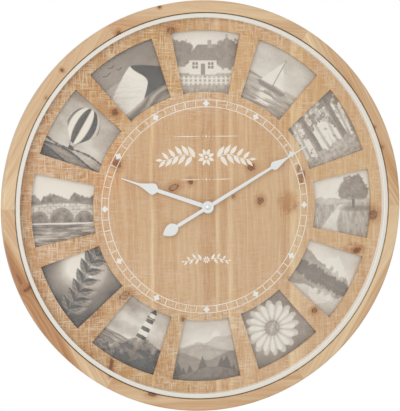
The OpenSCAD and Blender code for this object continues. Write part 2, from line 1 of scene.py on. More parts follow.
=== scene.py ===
"""Looks of a wooden wall clock with twelve photo windows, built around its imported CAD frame."""

import math

import bpy
import numpy as np
from bpy.props import FloatProperty, FloatVectorProperty, IntProperty, PointerProperty
from bpy.types import Operator, Panel, PropertyGroup
from mathutils import Matrix, Vector


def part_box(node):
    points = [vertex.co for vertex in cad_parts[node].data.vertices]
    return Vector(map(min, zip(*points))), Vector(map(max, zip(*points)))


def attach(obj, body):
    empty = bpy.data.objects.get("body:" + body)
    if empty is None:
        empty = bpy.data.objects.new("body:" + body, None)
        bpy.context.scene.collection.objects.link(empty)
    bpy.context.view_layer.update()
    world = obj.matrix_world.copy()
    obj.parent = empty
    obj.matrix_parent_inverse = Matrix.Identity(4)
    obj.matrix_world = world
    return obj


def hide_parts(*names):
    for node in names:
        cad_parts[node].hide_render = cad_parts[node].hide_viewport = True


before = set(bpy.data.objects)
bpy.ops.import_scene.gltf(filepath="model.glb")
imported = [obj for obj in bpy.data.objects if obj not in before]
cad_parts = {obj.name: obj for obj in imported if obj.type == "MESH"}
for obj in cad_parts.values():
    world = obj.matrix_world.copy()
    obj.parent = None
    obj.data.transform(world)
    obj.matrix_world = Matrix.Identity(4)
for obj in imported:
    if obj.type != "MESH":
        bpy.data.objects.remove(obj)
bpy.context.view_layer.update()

bl_info = {
    "name": "Photo wall clock",
    "version": (1, 0, 0),
    "blender": (4, 5, 0),
    "location": "View3D > Sidebar > Clock",
    "description": "Wood, dial printing, prints, hands, hardware and stage of a photo wall clock",
    "category": "Object",
}

MM = 0.001
FIXED = "clock_body"
HOURS = 12
HOUR_ANGLE = 30.0
DIAL_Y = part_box("dial_board")[0].y
PRINT_FRONT, PRINT_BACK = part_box("photo_prints")[0].y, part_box("photo_prints")[1].y
HOUR_Y, MINUTE_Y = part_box("hour_hand")[1].y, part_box("minute_hand")[1].y
IMAGE_WIDE, IMAGE_HIGH = 400, 411


# Sizes and colours


def linear(code):
    """Six hexadecimal digits of a screen colour as linear red, green, blue and alpha."""
    screen = [int(code[i:i + 2], 16) / 255 for i in (0, 2, 4)]
    return tuple(c / 12.92 if c <= 0.04045 else ((c + 0.055) / 1.055) ** 2.4 for c in screen) + (1.0,)


def toned(tint, share):
    """A colour with its red, green and blue multiplied by a share."""
    return tuple(c * share for c in tint[:3]) + (1.0,)


def colour(name, about, code):
    """A colour property with its default as screen digits."""
    return FloatVectorProperty(
        name=name, description=about, subtype="COLOR", size=4, min=0.0, max=1.0, default=linear(code))


def length(name, about, size):
    """A length property whose default is given in millimetres."""
    return FloatProperty(name=name, description=about, default=size * MM, unit="LENGTH", precision=4)


def angle(name, about, degrees):
    """An angle property whose default is given in degrees."""
    return FloatProperty(name=name, description=about, default=math.radians(degrees), subtype="ANGLE")


def number(name, about, value):
    """A plain number property."""
    return FloatProperty(name=name, description=about, default=value)


class ClockWood(PropertyGroup):
    """Colours of the boards, from the darkest growth to the palest."""
    knot: colour("Knot", "Dark ring of a knot", "5A3826")
    red: colour("Knot wood", "Reddish wood of a knot", "845232")
    heart: colour("Heartwood", "Deep brown growth", "A8754C")
    brown: colour("Brown wood", "Brown growth", "C2976B")
    tan: colour("Tan wood", "Ordinary growth", "CFAD87")
    pale: colour("Pale wood", "Sapwood", "DDC19A")
    cream: colour("Cream wood", "Palest sapwood", "E8D3B0")
    wash: colour("Whitewash", "Worn wash in the sawn grain", "E9DCC8")
    hardboard: colour("Hardboard", "Pressed fibre of the backings", "8A6243")


class ClockDial(PropertyGroup):
    """White paint on the dial."""
    paint: colour("Dial paint", "White of the minute track and the sprig", "EFE9DE")
    diamond_paint: colour("Diamond paint", "White of the hour diamonds, painted twice", "EAEAE6")
    lacquer: colour("Lacquer", "White of the accent ring", "E6E2D8")
    # Paler white on the ring's inner wall: a painted highlight that keeps the shaded wall as white as the
    # front.
    wall_highlight: colour("Wall highlight", "White of the ring's inner wall, painted lighter", "F3F5F1")
    ring_wide: length("Ring width", "Width of the accent ring", 6.3)
    track_out: length("Outer line", "Radius of the outer line of the minute track", 159.0)
    track_in: length("Inner line", "Radius of the inner line of the minute track", 148.7)
    line: length("Line width", "Width of the lines and minute strokes", 1.15)
    diamond: length("Diamond", "Half of the diagonal of an hour diamond", 5.4)
    film: length("Paint film", "Height of the paint above the wood", 0.12)


class ClockPrints(PropertyGroup):
    """Sepia prints behind the panes."""
    dark: colour("Print shadows", "Darkest tone of a print", "342C26")
    middle: colour("Print mid tones", "Middle tone of a print", "A19283")
    light: colour("Print lights", "Lightest tone of a print", "E9E2D6")
    radius_in: length("Inner edge", "Inner radius of a print", 166.8)
    radius_out: length("Outer edge", "Outer radius of a print", 266.2)
    half: angle("Half angle", "Half of the angle that a print spans", 13.1)
    gap: length("Gap", "Gap between a print and its pane", 0.08)
    cells: IntProperty(name="Cells", description="Mesh cells along a side of a print", default=144, min=20)


class ClockHands(PropertyGroup):
    """Leaf hands."""
    white: colour("Hand white", "Lacquer of the hands", "E6E8E6")
    cap: colour("Cap nut", "Bright zinc of the cap nut", "E6E9EA")
    hour_at: angle("Hour hand", "Clockwise from twelve", 289.0)
    minute_at: angle("Minute hand", "Clockwise from twelve", 60.0)
    hour_long: length("Hour hand length", "From the axis to the tip", 138.0)
    minute_long: length("Minute hand length", "From the axis to the tip", 179.0)
    tail_long: length("Tail length", "From the axis to the end of the leaf tail", 79.0)
    thick: length("Thickness", "Thickness of a hand at its crown", 1.2)


class ClockHardware(PropertyGroup):
    """Metals and mouldings behind the dial."""
    zinc: colour("Zinc", "Plated steel", "C9CBCC")
    yellow: colour("Yellow zinc", "Yellow passivated screws", "D6B86E")
    brass: colour("Brass", "Bushing, nut and washer", "D8B66A")
    copper: colour("Copper", "Enamelled winding", "B4673A")
    case: colour("Case", "Moulded movement case", "2B2B2D")
    gear: colour("Gear", "Moulded wheels", "E2DFD2")
    rubber: colour("Rubber", "Gasket", "1E1E1E")
    board: colour("Circuit", "Solder mask", "2F6B40")
    sleeve: colour("Cell sleeve", "Plain sleeve of the cell", "3F4A44")


class ClockStage(PropertyGroup):
    """Camera, light and floor."""
    distance: length("Distance", "Camera to the middle of the rim's front", 2250.0)
    yaw: angle("Yaw", "Camera turned to the left of the dial's axis", 15.55)
    pitch: angle("Pitch", "Camera raised above the dial's axis", 4.19)
    roll: angle("Roll", "Camera rolled about its own axis", -0.14)
    focal: number("Focal length", "In pixels of the image", 1519.6)
    middle_x: number("Middle column", "Pixel column of the optical axis", 208.6)
    middle_y: number("Middle row", "Pixel row of the optical axis", 207.5)
    sky: number("Sky light", "Strength of the even white light", 0.68)
    key: number("Key light", "Power of the soft lamp at the upper left, in watts", 38.0)
    lamp: length("Lamp size", "Width of the soft lamp", 2600.0)
    floor: colour("Floor", "Pale floor", "F2F1EE")
    floor_z: length("Floor height", "Floor below the hands' axis", -900.0)
    floor_r: length("Floor radius", "Radius of the round floor", 1500.0)


GROUPS = {"clock_wood": ClockWood, "clock_dial": ClockDial, "clock_prints": ClockPrints,
          "clock_hands": ClockHands, "clock_hardware": ClockHardware, "clock_stage": ClockStage}


# Meshes


def join(parts):
    """Several (points, faces) shapes as one: points stacked, face numbers moved up past the points before."""
    points, faces, start = [], [], 0
    for these, corners in parts:
        points.append(np.asarray(these, float).reshape(-1, 3))
        faces += [(np.asarray(face) + start).tolist() for face in corners]
        start += len(points[-1])
    return np.concatenate(points), faces


def new_object(name, shape, look):
    """A mesh object at the origin from (points, faces)."""
    points, faces = shape
    mesh = bpy.data.meshes.new(name)
    mesh.from_pydata(np.asarray(points, float).tolist(), [], list(faces))
    mesh.validate()
    mesh.update()
    mesh.materials.append(look.material)
    made = bpy.data.objects.new(name, mesh)
    bpy.context.scene.collection.objects.link(made)
    return made


def add_piece(name, shape, look, body):
    """A new piece that rides on a body, with the given material."""
    piece = new_object(name, shape, look)
    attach(piece, body)
    return piece


def grid_faces(rows, columns, round_rows=False, round_columns=False):
    """Four-sided faces of a grid of points stored row by row, closed in a direction that runs round."""
    i, j = np.meshgrid(np.arange(rows if round_rows else rows - 1),
                       np.arange(columns if round_columns else columns - 1), indexing="ij")
    k, m = (i + 1) % rows, (j + 1) % columns
    corners = [i * columns + j, i * columns + m, k * columns + m, k * columns + j]
    return np.stack(corners, -1).reshape(-1, 4)


def circle(steps):
    """Points (cos a, sin a) at equal steps round a circle of radius 1."""
    a = np.linspace(0, 2 * np.pi, steps, endpoint=False)
    return np.stack([np.cos(a), np.sin(a)], 1)


def prisms(outlines, front, back, caps=None):
    """Straight prisms over k outlines of n (x, z) points each, all counter-clockwise as the dial is seen. The
    points are laid at depth front and again at depth back, and n sides join the two. Each end is closed by
    the outlines themselves, or by the caps where they are given."""
    k, n = outlines.shape[:2]
    flat = outlines.reshape(-1, 2)
    points = np.concatenate([np.insert(flat, 1, depth, 1) for depth in (front, back)])
    ring = np.arange(k * n).reshape(k, n)
    after = np.roll(ring, -1, 1)
    sides = np.stack([ring, ring + k * n, after + k * n, after], -1).reshape(-1, 4)
    caps = ring if caps is None else caps
    return points, caps.tolist() + (caps[:, ::-1] + k * n).tolist() + sides.tolist()


def ribbon(path, half, front, back):
    """A painted stroke: a path of (x, z) points, widened by half to both sides square to its own direction,
    as a prism whose ends are closed by rungs across it."""
    way = np.gradient(path, axis=0)
    way /= np.linalg.norm(way, axis=1, keepdims=True)
    side = np.stack([way[:, 1], -way[:, 0]], 1) * np.broadcast_to(half, len(path))[:, None]
    outline = np.concatenate([path + side, (path - side)[::-1]])
    i, last = np.arange(len(path) - 1), len(outline) - 1
    return prisms(outline[None], front, back, np.stack([i, i + 1, last - 1 - i, last - i], 1))


def carried_round(radii, depths, steps):
    """A profile at equal steps round the hands' axis: the point (r, y) becomes (r cos a, y, r sin a)."""
    cos, sin = circle(steps).T
    y = np.broadcast_to(depths, (steps, len(radii)))
    return np.stack([np.outer(cos, radii), y, np.outer(sin, radii)], -1).reshape(-1, 3)


def ring_band(inner, outer, front, back, steps=720):
    """A flat ring: four corners, inner or outer radius and front or back depth, carried round the axis."""
    points = carried_round([inner, outer, outer, inner], [front, front, back, back], steps)
    return points, grid_faces(steps, 4, True, True).tolist()


def lathe(profile, steps=96):
    """A turned solid: (radius, depth) points carried round the axis, on which the first and the last lie."""
    radii, depths = np.asarray(profile)[1:-1].T
    m = len(radii)
    poles = np.array([[0, profile[0][1], 0], [0, profile[-1][1], 0]])
    s = np.arange(steps)
    t = (s + 1) % steps
    top = np.stack([np.full(steps, steps * m), s * m, t * m], 1)
    low = np.stack([np.full(steps, steps * m + 1), t * m + m - 1, s * m + m - 1], 1)
    points = np.concatenate([carried_round(radii, depths, steps), poles])
    return points, grid_faces(steps, m, True).tolist() + top.tolist() + low.tolist()


# Shader graphs


class Value:
    """A shader output that adds, subtracts, multiplies and divides by way of Math nodes."""

    def __init__(self, graph, socket):
        self.graph, self.socket = graph, socket

    def __add__(self, other):
        return self.graph.math("ADD", self, other)

    def __sub__(self, other):
        return self.graph.math("SUBTRACT", self, other)

    def __rsub__(self, other):
        return self.graph.math("SUBTRACT", other, self)

    def __mul__(self, other):
        return self.graph.math("MULTIPLY", self, other)

    def __truediv__(self, other):
        return self.graph.math("DIVIDE", self, other)

    __radd__ = __add__
    __rmul__ = __mul__


class Graph:
    """A node tree with short calls; every input takes a Value or a plain number, colour or vector."""
    MIX_A, MIX_B, MIX_RESULT = 6, 7, 2

    def __init__(self, tree):
        self.tree = tree

    def feed(self, socket, value):
        """Links a Value to an input, or sets a plain value on it."""
        if isinstance(value, Value):
            self.tree.links.new(value.socket, socket)
        else:
            socket.default_value = tuple(value) if hasattr(value, "__len__") else value

    def send(self, sockets, **values):
        """Feeds inputs by name, with _ for a blank."""
        for key, value in values.items():
            self.feed(sockets[key.replace("_", " ")], value)

    def node(self, kind, *values, **settings):
        """A node of a kind with its settings, and its first inputs fed in order."""
        made = self.tree.nodes.new("ShaderNode" + kind)
        for key, value in settings.items():
            setattr(made, key, value)
        for socket, value in zip(made.inputs, values):
            self.feed(socket, value)
        return made

    def outputs(self, made):
        """The outputs of a node by name."""
        return {socket.name: Value(self, socket) for socket in made.outputs}

    def math(self, operation, *values):
        """One step of arithmetic."""
        return Value(self, self.node("Math", *values, operation=operation).outputs[0])

    def most(self, *values):
        """The largest of several values."""
        result = values[0]
        for value in values[1:]:
            result = self.math("MAXIMUM", result, value)
        return result

    def mix(self, factor, first, second, blend="MIX"):
        """The second colour over the first by a factor."""
        made = self.node("Mix", factor, data_type="RGBA", blend_type=blend)
        self.feed(made.inputs[self.MIX_A], first)
        self.feed(made.inputs[self.MIX_B], second)
        return Value(self, made.outputs[self.MIX_RESULT])

    def stain(self, shade, share, code):
        """A colour multiplied by a share of a stain, given as screen digits."""
        return self.mix(share, shade, linear(code), "MULTIPLY")

    def smooth(self, value, start, end, first=0.0, last=1.0):
        """A smooth step from first to last while the value goes from start to end."""
        made = self.node("MapRange", value, start, end, first, last, interpolation_type="SMOOTHSTEP")
        return Value(self, made.outputs[0])

    def noise(self, point, size, detail=2.0, rough=0.5):
        """Noise at a point in millimetres, in cells of a size: one length, or one for each axis."""
        sizes = size if hasattr(size, "__len__") else (size, size, size)
        place = self.node("VectorMath", point, sizes, operation="DIVIDE")
        made = self.node("TexNoise")
        self.send(made.inputs, Vector=Value(self, place.outputs[0]), Scale=1.0, Detail=detail,
                  Roughness=rough)
        return Value(self, made.outputs[0])

    def ramp(self, factor, stops):
        """A ramp over stops of a place and a colour, or of a place and a tone."""
        made = self.node("ValToRGB", factor)
        items = made.color_ramp.elements
        while len(items) < len(stops):
            items.new(1.0)
        for item, (place, shade) in zip(items, stops):
            item.position = place
            item.color = shade if hasattr(shade, "__len__") else (shade, shade, shade, 1.0)
        return Value(self, made.outputs[0])

    def split(self, vector):
        """The three parts of a vector."""
        return [Value(self, socket) for socket in self.node("SeparateXYZ", vector).outputs]

    def merge(self, x, y, z):
        """A vector of three parts."""
        return Value(self, self.node("CombineXYZ", x, y, z).outputs[0])

    def reach(self, u, v):
        """Distance of the point (u, v) from zero."""
        return self.math("SQRT", u * u + v * v)

    def oval(self, u, v, middle_u, middle_v, half_u, half_v):
        """Distance from the middle of an oval, as a share of its half sizes."""
        return self.reach((u - middle_u) / half_u, (v - middle_v) / half_v)

    def here(self, turn=0.0):
        """Object coordinates in millimetres, turned about the depth."""
        made = self.node("Mapping", self.outputs(self.node("TexCoord"))["Object"])
        self.send(made.inputs, Rotation=(0.0, turn, 0.0), Scale=(1 / MM, 1 / MM, 1 / MM))
        return Value(self, made.outputs[0])

    def use(self, name, **values):
        """The outputs of a shared node group for its own inputs."""
        made = self.node("Group", node_tree=bpy.data.node_groups[name])
        self.send(made.inputs, **values)
        return self.outputs(made)


class Look(Graph):
    """A material with one Principled shader; constants go on its own sockets."""

    def __init__(self, name, **constants):
        self.material = bpy.data.materials.new(name)
        self.material.use_nodes = True
        super().__init__(self.material.node_tree)
        self.shader = self.tree.nodes["Principled BSDF"].inputs
        self.send(self.shader, **constants)

    def surface(self, shade, rough, height, strength, depth):
        """Feeds the shader's colour and roughness, and its normal from a bump, depth millimetres deep."""
        made = self.node("Bump")
        self.send(made.inputs, Height=height, Strength=strength, Distance=depth * MM)
        self.send(self.shader, Base_Color=shade, Roughness=rough, Normal=Value(self, made.outputs[0]))


def new_group(name, inputs, outputs):
    """An empty shared group, with inputs by their defaults, numbers or vectors, and numbers as outputs."""
    tree = bpy.data.node_groups.new(name, "ShaderNodeTree")
    for label, default in inputs.items():
        kind = "NodeSocketVector" if hasattr(default, "__len__") else "NodeSocketFloat"
        tree.interface.new_socket(label, in_out="INPUT", socket_type=kind).default_value = default
    for label in outputs:
        tree.interface.new_socket(label, in_out="OUTPUT", socket_type="NodeSocketFloat")
    g = Graph(tree)
    return g, g.outputs(tree.nodes.new("NodeGroupInput")), tree.nodes.new("NodeGroupOutput").inputs


def make_knot_group():
    """A knot: an ellipse of its half sizes, leaning along the grain. Its core, pith, broken dark edge and
    soft halo are steps of the elliptic distance. The place at which the grain is read is drawn towards the
    knot's axis, so that the grain runs round it."""
    g, enter, leave = new_group(
        "Knot", {"Across": 0.0, "Along": 0.0, "Centre Across": 0.0, "Centre Along": 0.0, "Half Width": 4.0,
                 "Half Length": 5.0, "Lean": 0.0}, ("Core", "Pith", "Edge", "Halo", "Bend"))
    along = enter["Along"] - enter["Centre Along"]
    across = enter["Across"] - enter["Centre Across"] - along * enter["Lean"]
    wide, long = across / enter["Half Width"], along / enter["Half Length"]
    rough = g.noise(g.merge(enter["Across"], enter["Half Width"], enter["Along"]), (3.0, 1.0, 3.0))
    reach = g.reach(wide, long) + (rough * 0.8 - 0.4)
    edge = g.smooth(reach, 1.3, 1.0) * g.smooth(reach, 0.6, 0.9)
    a, b = wide / 2.6, long / 3.4
    fall = g.math("EXPONENT", (a * a + b * b) * -1.0)
    g.send(leave, Core=g.smooth(reach, 1.15, 0.75), Pith=g.smooth(reach, 0.5, 0.15),
           Edge=edge * g.smooth(rough, 0.7, 0.42, 0.3, 1.0), Halo=g.smooth(reach, 3.4, 0.8),
           Bend=across * fall * -0.8)


def make_grain_group():
    """Straight board grain: stretched noise for streaks and fibres, and a bent saw-tooth for growth lines."""
    g, enter, leave = new_group(
        "Board Grain", {"Across": 0.0, "Depth": 0.0, "Along": 0.0, "Seed": 0.0, "Line Spacing": 9.0},
        ("Streak", "Lines", "Fine", "Fibre", "Cloud"))
    across, along, deep = enter["Across"], enter["Along"], enter["Depth"] + enter["Seed"]
    straight = g.merge(across, deep, along)
    bent = g.noise(straight, (60.0, 40.0, 240.0), 1.0) * 18.0 + (across - 9.0)
    spot = g.merge(bent, deep, along)
    streak = g.noise(spot, (9.0, 14.0, 420.0), 4.0, 0.6)
    fine = g.noise(spot, (3.6, 6.0, 190.0), 2.0, 0.6)
    phase = bent / enter["Line Spacing"] + g.noise(spot, (28.0, 28.0, 300.0)) * 3.0
    tooth = g.math("FRACT", phase)
    line = g.smooth(tooth, 0.0, 0.85) * g.smooth(tooth, 1.0, 0.92)
    present = g.smooth(g.noise(spot, (45.0, 45.0, 360.0), 1.0), 0.4, 0.62)
    g.send(leave, Streak=g.smooth(streak, 0.3, 0.7, -1.0, 1.0), Lines=line * present,
           Fine=g.smooth(fine, 0.3, 0.7, -1.0, 1.0), Fibre=g.noise(spot, (2.6, 2.6, 60.0), 4.0, 0.68),
           Cloud=g.noise(straight, (70.0, 70.0, 150.0)))


def make_brush_group():
    """Handled metal: long fine scratches and cloudy stains, as noise stretched along X and plain noise."""
    g, enter, leave = new_group("Handled Metal", {"Point": (0.0, 0.0, 0.0)}, ("Scratch", "Stain"))
    g.send(leave, Scratch=g.noise(enter["Point"], (9.0, 0.25, 0.25), 3.0, 0.6),
           Stain=g.noise(enter["Point"], 5.0, 3.0, 0.6))


def make_mould_group():
    """Moulded plastic: a fine sparked texture and a slow drift of gloss, both plain noise."""
    g, enter, leave = new_group("Moulded", {"Point": (0.0, 0.0, 0.0)}, ("Spark", "Drift"))
    g.send(leave, Spark=g.noise(enter["Point"], 0.35), Drift=g.noise(enter["Point"], 16.0))


def dress(look, *names):
    """Puts a material on CAD nodes."""
    for name in names:
        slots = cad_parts[name].data.materials
        slots.clear()
        slots.append(look.material)


# Wood


class Board(Look):
    """A board's material: its place, grain, colour, height and knots. tones gives the tone across the board,
    as steps of millimetres and tone. A knot is its place across and along, half width, half length, lean,
    edge and core. lean is the tone lost over a stated length along the board, and figure the strength of the
    growth lines and of the fine lines."""
    LEAN_OVER, SWAY = 150.0, 7.0
    STREAK, FIBRE, CLOUD, HALO = 0.085, 0.62, 0.24, 0.22

    def __init__(self, name, wood, tones, knots, seed, spacing, turn=0.0, lean=0.0, figure=(0.13, 0.02)):
        super().__init__(name)
        self.point = self.here(turn)
        self.across, self.deep, self.along = self.split(self.point)
        core, pith, edge, halo, bend = self.knots_in(knots)
        bent = self.across + bend
        self.grain = grain = self.use("Board Grain", Across=bent, Depth=self.deep, Along=self.along,
                                      Seed=seed, Line_Spacing=spacing)
        first, last = tones[0][0], tones[-1][0]
        sway = (self.noise(self.merge(bent, seed, self.along), (90.0, 1.0, 110.0)) - 0.5) * self.SWAY
        stops = [((place - first) / (last - first), tone) for place, tone in tones]
        tone = (self.ramp((bent + sway - first) / (last - first), stops)
                + grain["Streak"] * self.STREAK - grain["Lines"] * figure[0] + grain["Fine"] * figure[1]
                + (grain["Fibre"] - 0.5) * self.FIBRE + (grain["Cloud"] - 0.5) * self.CLOUD
                - halo * self.HALO - self.along * (lean / self.LEAN_OVER))
        shade = self.ramp(tone, [(0.0, wood.heart), (0.3, wood.brown), (0.55, wood.tan), (0.8, wood.pale),
                                 (1.0, wood.cream)])
        shade = self.mix(halo * 0.4, shade, wood.heart)
        shade = self.mix(core * 0.85, shade, wood.red)
        self.shade = self.mix(self.most(edge, pith) * 0.85, shade, wood.knot)
        self.height = grain["Fibre"] * 0.5 + grain["Lines"] * 0.5 - edge * 0.4
        self.knot = self.most(core, edge, halo * 0.5)

    def knots_in(self, knots):
        """The strongest core, pith, edge and halo of all knots, and the sum of their bends."""
        masks = {"Core": 0.0, "Pith": 0.0, "Edge": 0.0, "Halo": 0.0}
        bend = 0.0
        for across, along, wide, long, lean, edge, core in knots:
            found = self.use("Knot", Across=self.across, Along=self.along, Centre_Across=across,
                             Centre_Along=along, Half_Width=wide, Half_Length=long, Lean=lean)
            for key, depth in (("Core", core), ("Pith", core), ("Edge", edge), ("Halo", edge)):
                masks[key] = self.most(masks[key], found[key] * depth)
            bend = found["Bend"] + bend
        return masks["Core"], masks["Pith"], masks["Edge"], masks["Halo"], bend


RIM_TONES = (
    ((252, 0.54), (266, 0.51), (274, 0.52), (281, 0.62), (286, 0.71), (292, 0.62), (299, 0.66), (306, 0.63)),
    ((252, 0.69), (261, 0.71), (267, 0.54), (275, 0.45), (283, 0.36), (291, 0.5), (299, 0.59), (306, 0.54)),
    ((252, 0.58), (258, 0.64), (264, 0.8), (278, 0.73), (289, 0.84), (293, 0.57), (300, 0.53), (306, 0.53)),
    ((252, 0.47), (259, 0.47), (266, 0.54), (273, 0.63), (282, 0.67), (287, 0.61), (293, 0.41), (306, 0.45)),
    ((252, 0.54), (266, 0.6), (277, 0.66), (281, 0.58), (285, 0.26), (290, 0.16), (298, 0.2), (306, 0.3)),
    ((252, 0.59), (258, 0.62), (268, 0.7), (276, 0.66), (285, 0.6), (291, 0.56), (299, 0.63), (306, 0.6)),
)
# Each knot of the rim: degrees clockwise from twelve, radius, half width, half length, depth of its colour
RIM_KNOTS = (
    (346.0, 303.0, 2.0, 2.2, 1.0), (66.0, 287.6, 2.0, 2.4, 0.5), (72.5, 288.6, 2.0, 2.6, 0.5),
    (197.5, 287.6, 3.4, 6.0, 0.9), (211.5, 286.8, 2.4, 2.2, 0.7), (247.7, 290.5, 7.5, 2.6, 0.9),
    (251.0, 298.5, 2.0, 7.0, 0.5), (312.9, 296.6, 2.4, 1.9, 1.0), (332.2, 288.2, 3.6, 2.6, 1.0),
    (304.0, 290.5, 2.0, 2.2, 0.35),
)
RIM_LEAN = (0.11, -0.05, 0.0, -0.06, -0.13, -0.07)
RIM_FIGURE = ((0.11, 0.03), (0.13, 0.11), (0.12, 0.02), (0.13, 0.06), (0.13, 0.1), (0.07, 0.02))
RIM_FIRST, RIM_STEP = 0.6, 60.0
RIM_SEED, RIM_SPACING = 31.0, 7.0


class CLOCK_OT_rim(Operator):
    """Straight-grained fir on each of the six glued rim segments, with the grain along its own segment"""
    bl_idname = "clock.rim"
    bl_label = "Rim segments"

    def execute(self, context):
        for i, tones in enumerate(RIM_TONES):
            name = "rim_segment_%d" % (i + 1)
            middle = RIM_FIRST + RIM_STEP * i
            look = Board("fir_" + name, context.scene.clock_wood, tones, self.knots(middle),
                         RIM_SEED * (i + 1), RIM_SPACING, math.radians(90.0 - middle), RIM_LEAN[i],
                         RIM_FIGURE[i])
            look.surface(look.shade, look.grain["Fibre"] * 0.25 + 0.42, look.height, strength=0.35,
                         depth=0.25)
            dress(look, name)
        return {"FINISHED"}

    @staticmethod
    def knots(middle):
        """The knots of the segment round a middle angle, at their places across and along its grain."""
        found = []
        for at, radius, wide, long, depth in RIM_KNOTS:
            off = (at - middle + 180.0) % 360.0 - 180.0
            if abs(off) <= RIM_STEP / 2:
                a = math.radians(off)
                found.append((radius * math.cos(a), -radius * math.sin(a), wide, long, 0.0, depth, depth))
        return found


DIAL_TONES = (
    (-292, 0.22), (-250, 0.36), (-205, 0.44), (-160, 0.4), (-136, 0.48), (-112, 0.54), (-86.5, 0.56),
    (-85.2, 0.84), (-82.2, 0.84), (-81, 0.5), (-74, 0.36), (-60, 0.5), (-36, 0.54), (-12, 0.54), (0, 0.4),
    (14, 0.42), (16, 0.77), (19.5, 0.77), (21.5, 0.42), (33, 0.4), (35.5, 0.76), (40, 0.76), (43, 0.5),
    (66, 0.6), (78, 0.44), (104, 0.52), (129.5, 0.48), (132.5, 0.82), (149, 0.8), (153, 0.51), (235, 0.49),
    (292, 0.61),
)
DIAL_KNOTS = (
    (70.0, 58.0, 5.0, 5.0, 0.0, 0.85, 0.85), (-50.0, 30.0, 6.0, 4.5, 0.6, 0.95, 0.3),
    (-24.0, 38.0, 3.2, 3.6, 0.0, 1.0, 0.9), (84.5, 7.5, 4.4, 5.0, 0.0, 0.85, 0.75),
    (139.0, -3.0, 2.2, 3.4, 0.3, 0.4, 0.25), (131.0, -8.0, 1.4, 2.2, 0.9, 0.35, 0.2),
    (42.0, 14.5, 2.0, 2.6, 0.0, 0.7, 0.5), (145.0, 55.0, 2.6, 4.5, 0.0, 0.7, 0.6),
    (150.0, 43.0, 4.6, 8.5, 0.1, 0.7, 0.6), (-135.0, 66.0, 5.0, 5.5, 0.0, 0.9, 0.8),
    (-138.0, 141.0, 4.0, 4.0, 0.0, 1.0, 0.8), (-125.0, -128.0, 6.5, 5.0, 0.5, 0.8, 0.35),
    (266.0, -18.0, 6.0, 6.5, 0.0, 0.7, 0.6), (240.0, -72.0, 5.0, 4.0, 0.3, 0.9, 0.8),
    (171.0, -162.0, 3.6, 3.6, 0.0, 1.0, 0.7), (-53.0, 260.0, 5.0, 4.6, 0.0, 1.0, 0.6),
    (-146.0, -229.0, 2.6, 8.0, 0.1, 1.0, 0.9), (-36.0, -167.0, 2.4, 3.0, 0.0, 0.9, 0.7),
    (-170.0, -150.0, 5.0, 9.0, 0.0, 0.4, 0.15),
)
DIAL_SEED, DIAL_SPACING = 7.0, 10.0
# Ovals of the dial: place across and along, half width, half length
RESIN_SPOTS = ((128.0, 3.0, 15.0, 17.0), (264.0, -16.0, 11.0, 14.0), (232.0, -68.0, 16.0, 9.0))
AMBER_SPOT = (-155.0, 70.0, 38.0, 75.0)
LANE_MIDDLE = -110.0
GOLD, HONEY, RESIN, LANE, LANE_WASH = "FDEDCF", "EED6A5", "E0C4A0", "F4EDDE", "F9F4E9"
# The third colour on the next line is painted shade: the ring's shadow along the dial's left edge.
SPOKE, AMBER, PAINTED_RING_SHADE = "FFFDF4", "FFF2E3", "F2ECE3"


class CLOCK_OT_dial(Operator):
    """Edge-glued fir staves on the dial board, with upright grain, knots, saw marks and worn whitewash"""
    bl_idname = "clock.dial"
    bl_label = "Dial board"

    def execute(self, context):
        wood = context.scene.clock_wood
        g = Board("fir_dial", wood, DIAL_TONES, DIAL_KNOTS, DIAL_SEED, DIAL_SPACING)
        across, along = g.across, g.along
        out = g.reach(across, along)
        patch = g.smooth(g.noise(g.point, (34.0, 55.0, 26.0), 3.0, 0.6), 0.28, 0.6, 0.4, 1.0)
        patch = patch * g.smooth(out, 125.0, 180.0, 0.35, 1.0)
        worn = patch * g.smooth(across, 220.0, -40.0, 0.4, 1.0)
        shade = g.stain(g.shade, g.smooth(along - across * 0.7, -160.0, 240.0) * 0.5, GOLD)
        shade = g.stain(shade, worn * 0.95, HONEY)
        ragged = g.noise(g.point, (6.0, 9.0, 8.0))
        spots = [g.smooth(g.oval(across, along, *spot) + ragged, 2.0, 0.9) for spot in RESIN_SPOTS]
        shade = g.stain(shade, g.most(*spots) * 0.9, RESIN)
        lane = g.smooth(g.math("ABSOLUTE", across - LANE_MIDDLE), 115.0, 75.0) * g.smooth(out, 150.0, 190.0)
        shade = g.stain(shade, lane, LANE)
        saw = g.smooth(g.noise(g.point, (13.0, 9.0, 1.0), 2.0, 0.55), 0.42, 0.66)
        slit = g.smooth(g.noise(g.point, (0.95, 9.0, 15.0), 2.0, 0.55), 0.43, 0.66)
        marks = g.most(saw, slit)
        clear = 1.0 - g.knot * 0.95
        wash = marks * patch * clear * g.smooth(across, 220.0, -40.0, 0.43, 0.77)
        shade = g.stain(g.mix(wash, shade, wood.wash), lane, LANE_WASH)
        veil = g.smooth(across, 120.0, -60.0, 0.02, 0.07) * g.smooth(out, 292.0, 150.0)
        shade = g.mix(veil * clear, shade, wood.wash)
        spoke = g.smooth(out, 150.0, 180.0) * g.smooth(out, 275.0, 262.0)
        shade = g.stain(shade, g.smooth(across * 0.4 + along, -60.0, 80.0) * spoke, SPOKE)
        shade = g.stain(shade, g.smooth(g.oval(across, along, *AMBER_SPOT), 1.1, 0.4), AMBER)
        # Painted shade: darker along the dial's left edge next to the ring, where the ring's shadow falls.
        shade = g.stain(shade, g.smooth(out, 255.0, 275.0) * g.smooth(across, -160.0, -225.0), PAINTED_RING_SHADE)
        g.surface(shade, marks * 0.15 + 0.55, g.height + saw * 0.7 + slit * 0.4, strength=0.4, depth=0.3)
        dress(g, "dial_board")
        return {"FINISHED"}


